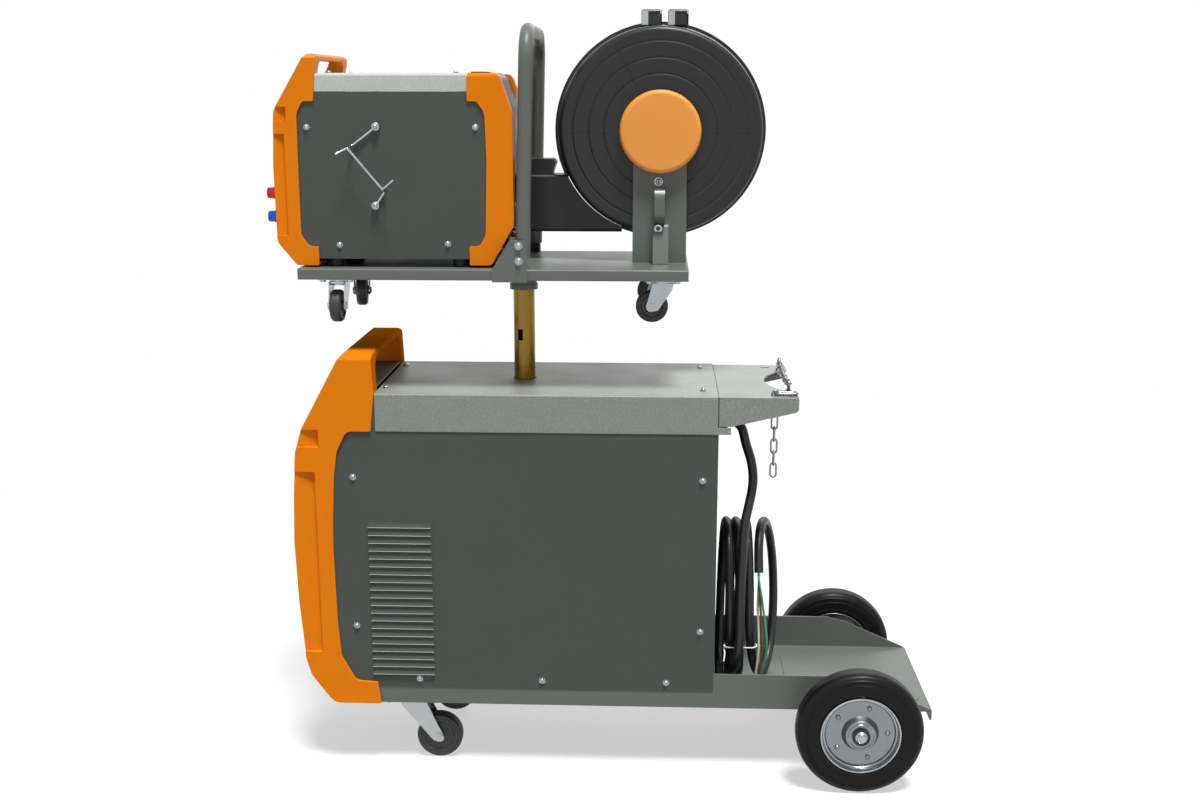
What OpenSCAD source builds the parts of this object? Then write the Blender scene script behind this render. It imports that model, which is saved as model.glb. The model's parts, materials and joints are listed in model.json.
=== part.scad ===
/* [Power source] */
// Width of the body over its side panels
body_w = 260; // [220:1:300]
// Length of the body from the bezel joint to the rear panel
body_len = 530; // [500:1:560]
// Distance of the rear panel behind the centre of the part
rear_panel_x = 174; // [160:1:190]
// Height of the top cover above the floor
cover_z = 624; // [600:1:650]
// Depth of the top cover's turned-down sides
cover_drop = 60; // [50:1:70]
// Thickness of the tray's steel sheet
tray_t = 3; // [2:0.5:4]
// Thickness of the panels' steel sheet
sheet_t = 1.5; // [1:0.1:2]
// Height of the tray's walls
tray_wall_h = 58; // [50:1:64]
// Height of the strip of tray that shows below the side panels
tray_strip_h = 29; // [20:1:36]
// Number of louvres in each side panel
louvre_n = 20; // [8:1:20]
// Distance from one louvre to the next
louvre_pitch = 13; // [12:0.1:13.5]
// Length of a louvre
louvre_len = 100; // [60:1:110]
// Width of the cheeks and bars of the front bezel
bezel_band = 28; // [22:1:34]
// Height of the handle arch above the top cover
arch_rise = 61; // [52:1:70]

/* [Bottle shelf and rack] */
// Height of the seat that is pressed up in the shelf for the bottle
bottle_seat_h = 1.5; // [1:0.5:3]
// Length of the shelf behind the rear panel
shelf_len = 350; // [320:1:380]
// Depth of the lip that is turned down at the shelf's rear edge
shelf_lip = 14; // [8:1:20]
// Length of the rack plate behind the rear panel
rack_len = 123; // [110:1:135]
// Radius of the rack's notch for the gas bottle
notch_r = 115; // [100:1:118]
// Depth of the notch
notch_depth = 44; // [30:1:50]

/* [Rear wheels] */
// Diameter of a rear wheel
wheel_d = 200; // [190:1:206]
// Width of a rear tyre
tyre_w = 44; // [36:1:50]
// Distance between the outer faces of the rear tyres
track = 398; // [390:1:410]
// Diameter of the rim's seat
rim_d = 126; // [110:1:134]
// Distance of the axle behind the rear panel
axle_back = 228; // [215:1:235]
// Diameter of the axle
axle_d = 18; // [14:1:19]
// Clearance between the axle and the underside of the tray above it
axle_clear = 1; // [0.5:0.5:4]
// Running clearance on a radius
run_fit = 0.05; // [0.02:0.01:0.09]

/* [Front casters] */
// Diameter of a front caster wheel
caster_d = 75; // [70:1:78]
// Width of a front caster wheel
caster_w = 24; // [20:1:28]
// Trail of a front caster
caster_trail = 42; // [36:1:44]
// Distance of a front caster from the centre plane
caster_y = 88; // [80:1:92]
// Distance of the swivel axes behind the front end of the tray
caster_back = 42; // [42:1:50]

/* [Column] */
// Diameter of the column
column_d = 34; // [30:0.5:38]
// Distance of the column ahead of the rear panel
column_ahead = 308.5; // [300:0.5:320]
// Wall of the column
column_wall = 3; // [2:0.5:4]
// Depth of the socket that holds the column below the cover
socket_depth = 90; // [60:1:110]
// Depth of the trolley's sleeve below the deck sheet
sleeve_h = 43; // [36:1:50]

/* [Trolley] */
// Length of the trolley deck
deck_len = 593; // [580:1:610]
// Width of the trolley deck
deck_w = 252; // [244:1:260]
// Height of the deck's top face
deck_z = 816; // [812:1:830]
// Depth of the deck's edges
deck_h = 17; // [15:1:20]
// Thickness of the deck sheet
deck_t = 3; // [2:0.5:4]
// Distance from the deck's front edge to the column
deck_front = 332.5; // [325:0.5:340]
// Diameter of a trolley caster wheel
small_caster_d = 50; // [46:1:52]
// Width of a trolley caster wheel
small_caster_w = 18; // [14:1:20]
// Trail of a trolley caster
small_caster_trail = 17; // [14:1:20]
// Total height of a trolley caster
small_caster_h = 68; // [65:1:72]
// Distance of the front swivel axes from the deck's front edge
small_caster_front = 54; // [44:1:60]
// Distance of the rear swivel axes from the deck's rear edge
small_caster_rear = 38; // [36:1:54]
// Distance of the trolley casters from the centre plane
small_caster_y = 84; // [78:1:90]
// Diameter of the loop handle's tube
loop_d = 22; // [18:1:26]
// Height of the loop handle above the deck
loop_h = 362; // [320:1:380]
// Distance between the centre lines of the loop handle's legs
loop_w = 220; // [200:1:226]
// Backward lean of the loop handle in degrees
loop_lean = 1.5; // [0:0.5:2]

/* [Spool] */
// Diameter of the wire spool's flanges
spool_d = 295; // [280:1:300]
// Width of the wire spool
spool_w = 100; // [90:1:104]
// Gap between the spool's rim and its cover
spool_gap = 11.5; // [8:0.5:13]
// Gap between the spool's sides and its cover
side_gap = 9; // [6:1:10]
// Thickness of the cover's plastic
cover_t = 2; // [1.5:0.5:3]
// Distance of the spool's axis behind the column
spool_back = 216; // [210:1:222]
// Height of the spool's axis above the deck
spool_up = 202; // [196:1:210]
// Diameter of the orange hub cap
hub_cap_d = 126; // [100:1:130]
// Distance of the spool's middle to the left of the centre plane
spool_y = 36; // [30:1:44]
// Width of the spool post
post_w = 82; // [70:1:90]
// Height of the wire duct
duct_h = 90; // [80:1:96]
// Width of the wire duct
duct_w = 60; // [50:1:70]

/* [Feeder] */
// Width of the feeder over its side panels
feeder_w = 210; // [200:1:220]
// Length of the feeder between its bezels
feeder_len = 232; // [226:1:240]
// Height of the feeder's body
feeder_h = 285; // [280:1:290]
// Distance from the deck's front edge to the front bezel joint
feeder_in = 30; // [28:1:34]
// Height of the feeder's arch above its top cover
feeder_arch = 28; // [24:1:34]
// Height of the feeder's feet
feeder_foot = 4; // [3:0.5:6]
// Width of the feeder bezels' cheeks and bars
feeder_band = 24; // [20:1:28]
// Diameter of the drive rolls
roll_d = 30; // [26:1:32]

/* [Mains cable] */
// Diameter of the mains cable
cable_d = 15; // [12:1:16]
// Number of loops in the hank
loop_n = 4; // [3:1:5]
// Height of the hank from bend to bend
hank_h = 262; // [240:1:270]

/* [Hidden] */
// Clearance between pieces of different bodies
gap = 0.3;
// Clearance between two pieces that are screwed together
seat = 0.1;
half_w = body_w / 2;
tray_z = wheel_d / 2 + axle_d / 2 + axle_clear;
tray_top = tray_z + tray_t;
tray_half = half_w - sheet_t;
front_x = rear_panel_x - body_len;
panel_front = front_x - 84;
strip_top = tray_z + tray_strip_h;
wall_top = tray_z + tray_wall_h;
skirt_z = cover_z - cover_drop;
cover_half = half_w + seat + sheet_t;
shelf_end = rear_panel_x + shelf_len;
rack_end = rear_panel_x + rack_len;
bezel_half = half_w + 4;
bezel_inner = bezel_half - bezel_band;
arch_z = cover_z + arch_rise;
wheel_r = wheel_d / 2;
axle_x = rear_panel_x + axle_back;
axle_z = wheel_r;
wheel_y = track / 2;
wheel_mid = wheel_y - tyre_w / 2;
caster_x = front_x - 2 + caster_back;
caster_r = caster_d / 2;
column_x = rear_panel_x - column_ahead;
deck_under = deck_z - deck_t;
deck_low = deck_z - deck_h;
column_top = deck_under - gap;
column_foot = cover_z - socket_depth;
deck_x0 = column_x - deck_front;
deck_x1 = deck_x0 + deck_len;
deck_half = deck_w / 2;
sc_r = small_caster_d / 2;
sc_z = deck_low - small_caster_h + sc_r;
sc_x = [deck_x0 + small_caster_front, deck_x1 - small_caster_rear];
spool_x = column_x + spool_back;
spool_z = deck_z + spool_up;
cover_r = spool_d / 2 + spool_gap + cover_t;
cover_y = spool_w / 2 + side_gap + cover_t;
rim_r = cover_r + 5;
hub_cap_r = hub_cap_d / 2;
post_y = spool_y - cover_y - 4;
fw = feeder_w / 2;
feeder_x0 = deck_x0 + feeder_in;
feeder_x1 = feeder_x0 + feeder_len;
feeder_z0 = deck_z + feeder_foot;
feeder_z1 = feeder_z0 + feeder_h;
feeder_rear = feeder_x1 + 58;
duct_z = feeder_z0 + 85;

function unit(v) = v / norm(v);
// The polygon pts with its corners rounded to radius r, or to the radii in the list r
function rounded(pts, r, n = 5) = [
  for (i = [0 : len(pts) - 1])
    let (
      p = pts[i],
      u = unit(pts[(i + len(pts) - 1) % len(pts)] - p),
      v = unit(pts[(i + 1) % len(pts)] - p),
      half = acos(max(-1, min(1, u * v))) / 2,
      want = is_list(r) ? r[i] : r,
      room = min(
        norm(pts[(i + len(pts) - 1) % len(pts)] - p),
        norm(pts[(i + 1) % len(pts)] - p)
      ) * 0.49,
      reach = min(want / tan(half), room),
      c = p + unit(u + v) * reach / cos(half),
      s = p + u * reach - c,
      e = p + v * reach - c,
      w = 180 - 2 * half
    )
      each (want == 0 || half > 89
        ? [p]
        : [for (k = [0 : n]) c + (s * sin((1 - k / n) * w) + e * sin(k / n * w)) / sin(w)])
];
function box_pts(a0, a1, b0, b1) = [[a0, b0], [a1, b0], [a1, b1], [a0, b1]];
// Points of an arc about c
function arc(c, r, a0, a1, n) =
  [for (k = [0 : n]) c + r * [cos(a0 + (a1 - a0) * k / n), sin(a0 + (a1 - a0) * k / n)]];

// A flat outline in X and Z, thickened along Y from y0 to y1
module along_y(y0, y1) {
  translate([0, y1, 0]) rotate([90, 0, 0]) linear_extrude(y1 - y0) children();
}
// A flat outline in Y and Z, thickened along X from x0 to x1
module along_x(x0, x1) {
  translate([x0, 0, 0]) rotate([90, 0, 90]) linear_extrude(x1 - x0) children();
}
// A flat outline in X and Y, thickened along Z from z0 to z1
module along_z(z0, z1) {
  translate([0, 0, z0]) linear_extrude(z1 - z0) children();
}
module block(x0, x1, y0, y1, z0, z1) {
  translate([x0, y0, z0]) cube([x1 - x0, y1 - y0, z1 - z0]);
}
module rod_x(y, z, r, x0, x1, n = 48) {
  translate([x0, y, z]) rotate([0, 90, 0]) cylinder(r = r, h = x1 - x0, $fn = n);
}
module rod_y(x, z, r, y0, y1, n = 48) {
  translate([x, y1, z]) rotate([90, 0, 0]) cylinder(r = r, h = y1 - y0, $fn = n);
}
module rod_z(x, y, r, z0, z1, n = 48) {
  translate([x, y, z0]) cylinder(r = r, h = z1 - z0, $fn = n);
}
// A profile of radius and height turned about the line along Y through x and z
module turned_y(x, y, z) {
  translate([x, y, z]) rotate([-90, 0, 0]) rotate_extrude($fn = 72) children();
}
// The same piece on both sides of the centre plane
module both_sides() {
  children();
  mirror([0, 1, 0]) children();
}
// A pan head screw with its washer, standing on the face z = 0
module pan_screw(r = 4) {
  cylinder(r = r * 1.25, h = 1, $fn = 24);
  translate([0, 0, 1]) cylinder(r1 = r, r2 = r * 0.75, h = r * 0.75, $fn = 24);
}
module screw_right(x, z, y, r = 4) {
  translate([x, y, z]) rotate([90, 0, 0]) pan_screw(r);
}

// ---- Power source ----

module base_tray() {
  shelf_taper = shelf_end - 138;
  wall = [
    [panel_front, tray_z], [shelf_end - 3, tray_z], [shelf_end - 3, tray_top + 1],
    [shelf_taper + 31, wall_top - 8], [shelf_taper, wall_top], [panel_front, wall_top]
  ];
  color("#4d524d") difference() {
    union() {
      block(panel_front, shelf_end, -tray_half, tray_half, tray_z, tray_top);
      both_sides() along_y(tray_half - tray_t, tray_half) polygon(wall);
      block(shelf_end - tray_t, shelf_end, -tray_half, tray_half, tray_z - shelf_lip, tray_z);
      // Pressed seat of the gas bottle
      along_z(tray_z, tray_top + bottle_seat_h) polygon(rounded(
        box_pts(shelf_end - 224, shelf_end - 12, -tray_half + 22, tray_half - 22), 30
      ));
    }
    // Cooling slots in the floor under the power parts
    for (i = [0 : 5])
      block(-220 + i * 30, -208 + i * 30, -60, 60, tray_z - 1, tray_top + 1);
    // Bolt holes of the front casters
    for (s = [-1, 1], i = [-1, 1], j = [-1, 1]) rod_z(
      caster_x + i * (plate_len / 2 - 8), s * caster_y + j * (plate_wid / 2 - 8), 3,
      tray_z - 1, tray_top + 1, 24
    );
  }
}

// One louvre, pressed outwards as a hood that is open below
module louvre(x, z, depth = 4, h = 8) {
  along_x(x, x + louvre_len)
    polygon([[0, z], [-depth, z - h], [-depth - 0.8, z - h], [-depth - 0.8, z - h + 0.8], [0, z + 1.4]]);
}
module side_panel() {
  louvre_x = front_x - 17;
  louvre_z = strip_top + 277;
  slot_in = 3;
  difference() {
    along_y(-half_w, -half_w + sheet_t) polygon([
      [panel_front + 1, strip_top], [rear_panel_x, strip_top], [rear_panel_x, cover_z - 6],
      [front_x - 54, cover_z - 6], [front_x - 54, skirt_z - 4], [panel_front + 1, skirt_z - 4]
    ]);
    for (i = [0 : louvre_n - 1])
      block(
        louvre_x + slot_in, louvre_x + louvre_len - slot_in, -half_w - 1, -half_w + sheet_t + 1,
        louvre_z - i * louvre_pitch - 7, louvre_z - i * louvre_pitch - 1
      );
  }
  translate([0, -half_w, 0]) for (i = [0 : louvre_n - 1])
    louvre(louvre_x, louvre_z - i * louvre_pitch);
}
module side_panel_right() {
  color("#4a4f4a") side_panel();
}
module side_panel_left() {
  color("#4a4f4a") mirror([0, 1, 0]) side_panel();
}

module top_cover() {
  lip_len = 20;
  color("#7b817a") difference() {
    union() {
      along_x(front_x, rear_panel_x) difference() {
        polygon(rounded([
          [-cover_half, skirt_z], [cover_half, skirt_z],
          [cover_half, cover_z], [-cover_half, cover_z]
        ], [0, 0, 3, 3], 3));
        polygon(rounded([
          [-cover_half + sheet_t, skirt_z - 1], [cover_half - sheet_t, skirt_z - 1],
          [cover_half - sheet_t, cover_z - sheet_t], [-cover_half + sheet_t, cover_z - sheet_t]
        ], [0, 0, 1.5, 1.5], 3));
      }
      // Lower edge that runs on behind the rear panel
      both_sides() block(
        rear_panel_x - 4, rear_panel_x + lip_len, -cover_half, -cover_half + sheet_t,
        skirt_z, skirt_z + 11
      );
    }
    rod_z(column_x, 0, column_d / 2 + 2, cover_z - 20, cover_z + 5);
  }
}

module bottle_rack() {
  top = cover_z - 2;
  notch_x = rack_end - notch_depth + notch_r;
  plate_t = 2.5;
  half = half_w - 1;
  start = rear_panel_x + sheet_t + seat;
  color("#7b817a") {
    difference() {
      union() {
        along_z(top - plate_t, top) polygon(rounded([
          [start, -half], [rack_end, -half], [rack_end, half], [start, half]
        ], [0, 8, 8, 0]));
        both_sides() along_y(-half, -half + plate_t) polygon(rounded([
          [start, skirt_z + 12], [rear_panel_x + 20, skirt_z + 12],
          [rack_end, top - 22], [rack_end, top - plate_t / 2], [start, top - plate_t / 2]
        ], [0, 0, 7, 0, 0]));
        // Flange against the rear panel
        block(start, start + plate_t, -half, half, top - 30, top - plate_t / 2);
      }
      rod_z(notch_x, 0, notch_r, top - 60, top + 10, 120);
      // Slots for the chain's loose end, and holes of the eye bolts
      both_sides() {
        along_z(top - 10, top + 5) polygon(rounded(
          box_pts(tail_x - 7.5, tail_x + 7.5, -tail_y - 3, -tail_y + 3), 2.9
        ));
        rod_z(eye_x, -eye_y, 3.2, top - 10, top + 5, 24);
      }
    }
  }
}

module rear_panel() {
  half = half_w - sheet_t - seat;
  low_half = tray_half - tray_t - seat;
  color("#4d524d") difference() {
    along_x(rear_panel_x, rear_panel_x + sheet_t) polygon([
      [-low_half, tray_top], [low_half, tray_top], [low_half, wall_top + seat],
      [half, wall_top + seat], [half, cover_z - sheet_t - seat],
      [-half, cover_z - sheet_t - seat], [-half, wall_top + seat], [-low_half, wall_top + seat]
    ]);
    // Fan grille: rings of slots
    for (r = [22, 34, 46], s = [0 : 3])
      translate([rear_panel_x - 1, 0, fan_z]) rotate([90, 0, 90]) rotate([0, 0, 8 + s * 90])
        rotate_extrude(angle = 74, $fn = 72) translate([r, 0]) square([7, 5]);
    rod_x(0, fan_z, 9, rear_panel_x - 1, rear_panel_x + 3);
    rod_x(gland_y, gland_z, 13, rear_panel_x - 1, rear_panel_x + 3);
    rod_x(switch_y, switch_z, 9, rear_panel_x - 1, rear_panel_x + 3);
    rod_x(plug_y, plug_z, 11, rear_panel_x - 1, rear_panel_x + 3);
  }
  // Control cable socket: flange, shell and its recess
  color("#2b2d2c") difference() {
    union() {
      rod_x(plug_y, plug_z, 10.9, rear_panel_x - 14, rear_panel_x + 12);
      along_x(rear_panel_x + sheet_t, rear_panel_x + sheet_t + 3)
        polygon(rounded(box_pts(plug_y - 16, plug_y + 16, plug_z - 16, plug_z + 16), 4));
    }
    rod_x(plug_y, plug_z, 8.5, rear_panel_x + 2, rear_panel_x + 13);
  }
}
gland_y = -24;
gland_z = 560;
switch_y = 100;
switch_z = 470;
plug_y = 100;
plug_z = 400;

// Outline of the front bezel's cheek, in X from the bezel joint and Z above the floor
cheek = [
  [-5, tray_z], [-82, tray_z], [-117, 158], [-125, 186], [-132, 280], [-135, 383], [-132, 461],
  [-127, 528], [-117, skirt_z], [-55, arch_z - 8], [-48, arch_z], [-3, arch_z], [0, cover_z],
  [-7, skirt_z], [-45, skirt_z], [-61, 532], [-67, 492], [-72, 412], [-73, 367], [-71, 247],
  [-67, 191], [-45, 149], [-10, 147]
];
cheek_r = [2, 22, 16, 30, 60, 60, 60, 30, 24, 10, 4, 4, 4, 2, 12, 20, 40, 60, 60, 40, 26, 14, 2];

module front_bezel() {
  bar = 10;
  hollow = [
    [-bezel_inner, tray_z + 30], [bezel_inner, tray_z + 30], [bezel_inner, arch_z - bar],
    [-bezel_inner, arch_z - bar]
  ];
  color("#f28a14") difference() {
    intersection() {
      translate([front_x, 0, 0]) along_y(-bezel_half, bezel_half) polygon(rounded(cheek, cheek_r, 3));
      along_x(front_x - 150, front_x + 10) difference() {
        polygon([
          [-bezel_half, tray_z - 1], [bezel_half, tray_z - 1], [bezel_half, arch_z - 8],
          [bezel_half - 24, arch_z + 1], [-bezel_half + 24, arch_z + 1], [-bezel_half, arch_z - 8]
        ]);
        polygon(rounded(hollow, [10, 10, 24, 24], 4));
      }
    }
    // Room for the tray, the side panels and the cover
    block(
      panel_front - seat, front_x + 20, -half_w - gap, half_w + gap, tray_z - 5, skirt_z
    );
    block(front_x - 56, front_x + 20, -half_w - gap, half_w + gap, skirt_z - 1, cover_z - 5);
    // Grip hollows down the outer side: flush at the front edge, deepest at the ridge behind it
    for (h = [[198, 498, 97], [538, 566, 89]]) both_sides() along_z(h[0], h[1]) polygon([
      [front_x - h[2] - 43, -bezel_half - 1], [front_x - h[2], -bezel_half - 1],
      [front_x - h[2] - 2, -bezel_half + 8], [front_x - h[2] - 40, -bezel_half]
    ]);
  }
}

module front_panel() {
  face_x = front_x - 112;
  socket_z = 200;
  color("#2f3230") {
    difference() {
      union() {
        // Upright face with its slanted upper part
        along_y(-bezel_inner + seat, bezel_inner - seat) polygon([
          [face_x, tray_z + 31], [face_x - 3, tray_z + 31], [face_x - 8, 383], [face_x - 3, 545],
          [front_x - 54, cover_z + 5], [front_x - 2, cover_z + 5], [front_x - 2, cover_z + 2],
          [front_x - 52, cover_z + 2], [face_x, 545], [face_x - 5, 383]
        ]);
      }
      for (s = [-1, 1]) rod_x(s * 55, socket_z, 16, face_x - 20, face_x + 20);
      // Air intake slots
      for (i = [0 : 7]) block(face_x - 20, face_x + 10, -70, 70, 262 + i * 14, 269 + i * 14);
    }
  }
  // Output sockets: flange, body and the hole for the cable plug
  color("#1c1d1c") for (s = [-1, 1]) difference() {
    union() {
      rod_x(s * 55, socket_z, 15.9, face_x - 10, face_x + 26);
      rod_x(s * 55, socket_z, 24, face_x - 12, face_x - 5);
    }
    rod_x(s * 55, socket_z, 6.7, face_x - 13, face_x + 16);
    rod_x(s * 55, socket_z, 12, face_x - 13, face_x - 6);
  }
}

// Socket tube of the column, with the beam that carries it across the body
module column_socket() {
  beam_z = column_foot - 8;
  color("#5b605b") {
    difference() {
      union() {
        rod_z(column_x, 0, column_d / 2 + 5, column_foot - 3, cover_z - sheet_t - seat);
        rod_z(column_x, 0, column_d / 2 + 22, column_foot - 3, column_foot);
      }
      rod_z(column_x, 0, column_d / 2 + run_fit, column_foot, cover_z + 1);
    }
    along_y(-half_w + sheet_t + seat, half_w - sheet_t - seat) polygon(rounded([
      [column_x - 40, beam_z - 30], [column_x + 40, beam_z - 30], [column_x + 40, column_foot - 3],
      [column_x - 40, column_foot - 3]
    ], 3));
  }
}

module column() {
  slot_z = cover_z + 64;
  color("#9a8435") difference() {
    rod_z(column_x, 0, column_d / 2, column_foot + seat, column_top, 72);
    rod_z(column_x, 0, column_d / 2 - column_wall, column_foot - 1, column_top - 4, 72);
    // Locking slot through the near wall
    block(column_x - 9, column_x - 1, -column_d, 0, slot_z, slot_z + 18);
  }
}

module power_module() {
  floor_z = tray_top;
  fan_frame_parts();
  // Heatsink: two finned halves back to back
  color("#a9adaf") {
    block(-250, -30, -70, 70, 400, 408);
    for (i = [0 : 13]) block(-250, -30, -68 + i * 10.4, -65 + i * 10.4, 407, 440);
    // Shelf that carries it
    block(-300, 120, -half_w + sheet_t + seat, half_w - sheet_t - seat, 392, 395);
    for (x = [-240, -46], s = [-1, 1]) rod_z(x, s * 60, 5, 394, 401, 24);
  }
  // Power transformer: core and winding
  color("#6e5a3a") {
    block(-180, -60, -45, 45, floor_z, floor_z + 26);
    block(-180, -60, -45, 45, floor_z + 114, floor_z + 140);
    for (x = [-180, -134, -86]) block(x, x + 26, -45, 45, floor_z + 25, floor_z + 115);
  }
  color("#a5622a") along_z(floor_z + 28, floor_z + 112)
    polygon(rounded(box_pts(-150, -90, -62, 62), 14));
  // Capacitors on their board
  color("#2a4a8a") for (i = [0 : 2]) rod_z(-220 + i * 50, 0, 20, 441, 488);
  color("#2f5d38") block(-250, -30, -66, 66, 437, 441.5);
}

fan_x = rear_panel_x - 28;
fan_z = 300;
module fan_frame_parts() {
  color("#1e1f1f") difference() {
    along_x(fan_x, rear_panel_x - seat) polygon(rounded(box_pts(-60, 60, fan_z - 60, fan_z + 60), 6));
    rod_x(0, fan_z, 57, fan_x - 1, rear_panel_x + 1, 72);
  }
  color("#1e1f1f") {
    rod_x(0, fan_z, 17, fan_x, fan_x + 5);
    for (a = [0 : 90 : 270]) translate([fan_x, 0, fan_z]) rotate([a, 0, 0])
      translate([0, -2, 14]) cube([4, 4, 44]);
    rod_x(0, fan_z, 2.5, fan_x + 4, fan_x + 22, 24);
  }
}
module fan_rotor() {
  color("#2a2c2c") {
    difference() {
      rod_x(0, fan_z, 18, fan_x + 5 + gap, fan_x + 25);
      rod_x(0, fan_z, 2.5 + run_fit, fan_x + 4, fan_x + 22.5, 24);
    }
    for (i = [0 : 6]) translate([fan_x + 15, 0, fan_z]) rotate([i * 360 / 7, 0, 0])
      rotate([0, 0, 35]) translate([-1, -9, 15]) cube([2, 18, 39]);
  }
}

module mains_switch() {
  color("#c23a2a") {
    rod_x(switch_y, switch_z, 16, rear_panel_x + sheet_t + gap, rear_panel_x + 6);
    rod_x(switch_y, switch_z, 9 - run_fit, rear_panel_x - 12, rear_panel_x + 4);
    along_x(rear_panel_x + 5, rear_panel_x + 12) polygon(rounded(
      box_pts(switch_y - 4, switch_y + 4, switch_z - 18, switch_z + 18), 3
    ));
  }
}

// One chain link: two straight sides and two bends, standing in the plane of X and Z
module link(len = link_len, w = 12, wire = link_wire) {
  r = (w - wire) / 2;
  h = len / 2 - w / 2;
  for (s = [-1, 1]) {
    translate([s * r, 0, -h]) cylinder(d = wire, h = 2 * h, $fn = 16);
    translate([0, 0, s * h]) rotate([90, 0, 0]) rotate_extrude(angle = s * 180, $fn = 32)
      translate([r, 0]) circle(d = wire, $fn = 16);
  }
}
// Chain across the notch: eye bolts in the rack plate, links and the snap hook
eye_x = rack_end - 13;
eye_y = 88;
eye_z = cover_z - 2 + 13;
eye_r = 6.5;
eye_wire = 2.2;
link_len = 25.5;
link_wire = 3;
link_step = link_len - 2 * link_wire - gap;
span_n = 9;
// The loose end hangs in a slot of the rack plate from the snap hook's end
tail_x = rack_end - 35;
tail_y = 108;
hook_wire = 4.5;
hook_len = 38;
hook_gate_r = 3;
hook_z = cover_z - 2 + hook_gate_r + seat;
first_z = hook_z + hook_wire / 2 + gap + link_wire - link_len / 2;
module chain_span() {
  top = cover_z - 2;
  sag = 5;
  // Half the distance between the points where the end links hang in the eyes
  half = eye_y - eye_r + eye_wire + link_wire / 2 + seat;
  step = 2 * (half - link_len / 2 + link_wire / 2) / (span_n - 1);
  color("#c9ccd0") {
    both_sides() {
      rod_z(eye_x, -eye_y, 3, top - 12, eye_z - eye_r, 24);
      rod_z(eye_x, -eye_y, 6.5, top - 2.5 - 5.4, top - 2.5 - seat, 6);
      rod_z(eye_x, -eye_y, 5, top + seat, top + 4, 24);
      translate([eye_x, -eye_y, eye_z]) rotate([90, 0, 90]) rotate_extrude($fn = 32)
        translate([eye_r, 0]) circle(r = eye_wire, $fn = 16);
    }
    // Snap hook lying on the plate, with its gate pin
    translate([tail_x + hook_len / 2 - hook_wire / 2, -tail_y, hook_z]) {
      rotate([0, 90, 0]) rotate([0, 0, 90]) link(hook_len, 17, hook_wire);
      translate([4, -17 / 2 + hook_wire / 2, 0]) rotate([0, 90, 0])
        cylinder(r = hook_gate_r, h = 9, $fn = 24);
    }
  }
  color("#b9bcbf") {
    for (i = [0 : span_n - 1]) {
      y = (i - (span_n - 1) / 2) * step;
      slope = atan(2 * sag * y / (half * half));
      translate([eye_x, y, eye_z + sag * (y * y / (half * half) - 1)])
        rotate([slope, 0, 0]) rotate([90, 0, 0]) rotate([0, 0, i % 2 * 90]) link();
    }
    translate([tail_x, -tail_y, first_z]) link();
  }
}
module chain_tail() {
  color("#b9bcbf") for (i = [1 : 6])
    translate([tail_x, -tail_y, first_z - i * link_step]) rotate([0, 0, i % 2 * 90]) link();
}

module axle() {
  bracket_y = tray_half - 22;
  color("#8d9092") {
    rod_y(axle_x, axle_z, axle_d / 2, -wheel_y - 4, wheel_y + 4);
    both_sides() {
      // End collar that keeps the wheel on, and the collar behind the wheel
      rod_y(axle_x, axle_z, axle_d / 2 + 5, -wheel_y - 5, -wheel_mid - hub_half - gap);
      rod_y(axle_x, axle_z, axle_d / 2 + 4, -wheel_mid + hub_half + gap, -wheel_mid + 32);
      // Bracket plates that carry the axle below the tray
      along_y(-bracket_y - 3, -bracket_y + 3) polygon(rounded([
        [axle_x - 30, tray_z], [axle_x - 16, axle_z - 16], [axle_x + 16, axle_z - 16],
        [axle_x + 30, tray_z]
      ], [0, 8, 8, 0]));
      along_y(-bracket_y - 12, -bracket_y + 12)
        polygon(box_pts(axle_x - 30, axle_x + 30, tray_z - 3, tray_z));
    }
  }
}

hub_r = 20;
hub_half = tyre_w / 2 + 1;
// Pressed steel rim of a rear wheel about Y at the axle, on the near side
module rear_rim() {
  r = rim_d / 2;
  out = -tyre_w / 2;
  difference() {
    turned_y(axle_x, -wheel_mid, axle_z) {
      // Hub tube
      translate([axle_d / 2 + run_fit, -hub_half]) square([hub_r - axle_d / 2 - run_fit, 2 * hub_half]);
      // Outer disc with its rolled edge, dished inwards, and the barrel
      polygon([
        [hub_r - 1, out + 2], [hub_r + 6, out + 3], [26, out + 12], [r - 14, out + 12],
        [r - 9, out + 7], [r - 3, out + 5], [r - 2, out + 1], [r, out + 1], [r, -out - 1],
        [r - 2, -out - 1], [r - 3, -out - 5], [r - 3, out + 8], [r - 8, out + 10],
        [r - 13, out + 14.5], [24, out + 14.5], [hub_r - 1, out + 6]
      ]);
    }
    for (a = [18 : 72 : 306]) translate([axle_x, -wheel_mid, axle_z]) rotate([0, a, 0])
      translate([0, 0, 43]) rotate([90, 0, 0]) cylinder(r = 3.2, h = 50, center = true, $fn = 24);
  }
}
module rear_rim_right() { color("#b9bdbf") rear_rim(); }
module rear_rim_left() { color("#b9bdbf") mirror([0, 1, 0]) rear_rim(); }

module rear_tyre() {
  r = rim_d / 2;
  h = tyre_w / 2;
  turned_y(axle_x, -wheel_mid, axle_z) polygon([
    [r, -h + 3], [r + 2, -h + 3], [r + 4, -h + 0.5], [wheel_r - 16, -h], [wheel_r - 15, -h + 1.5],
    [wheel_r - 9, -h + 1.8], [wheel_r - 4, -h + 5], [wheel_r - 0.8, -h + 11], [wheel_r, -7],
    [wheel_r, 7], [wheel_r - 0.8, h - 11], [wheel_r - 4, h - 5], [wheel_r - 9, h - 1.8],
    [wheel_r - 15, h - 1.5], [wheel_r - 16, h], [r + 4, h - 0.5], [r + 2, h - 3], [r, h - 3]
  ]);
}
module rear_tyre_right() { color("#222222") rear_tyre(); }
module rear_tyre_left() { color("#222222") mirror([0, 1, 0]) rear_tyre(); }

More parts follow.
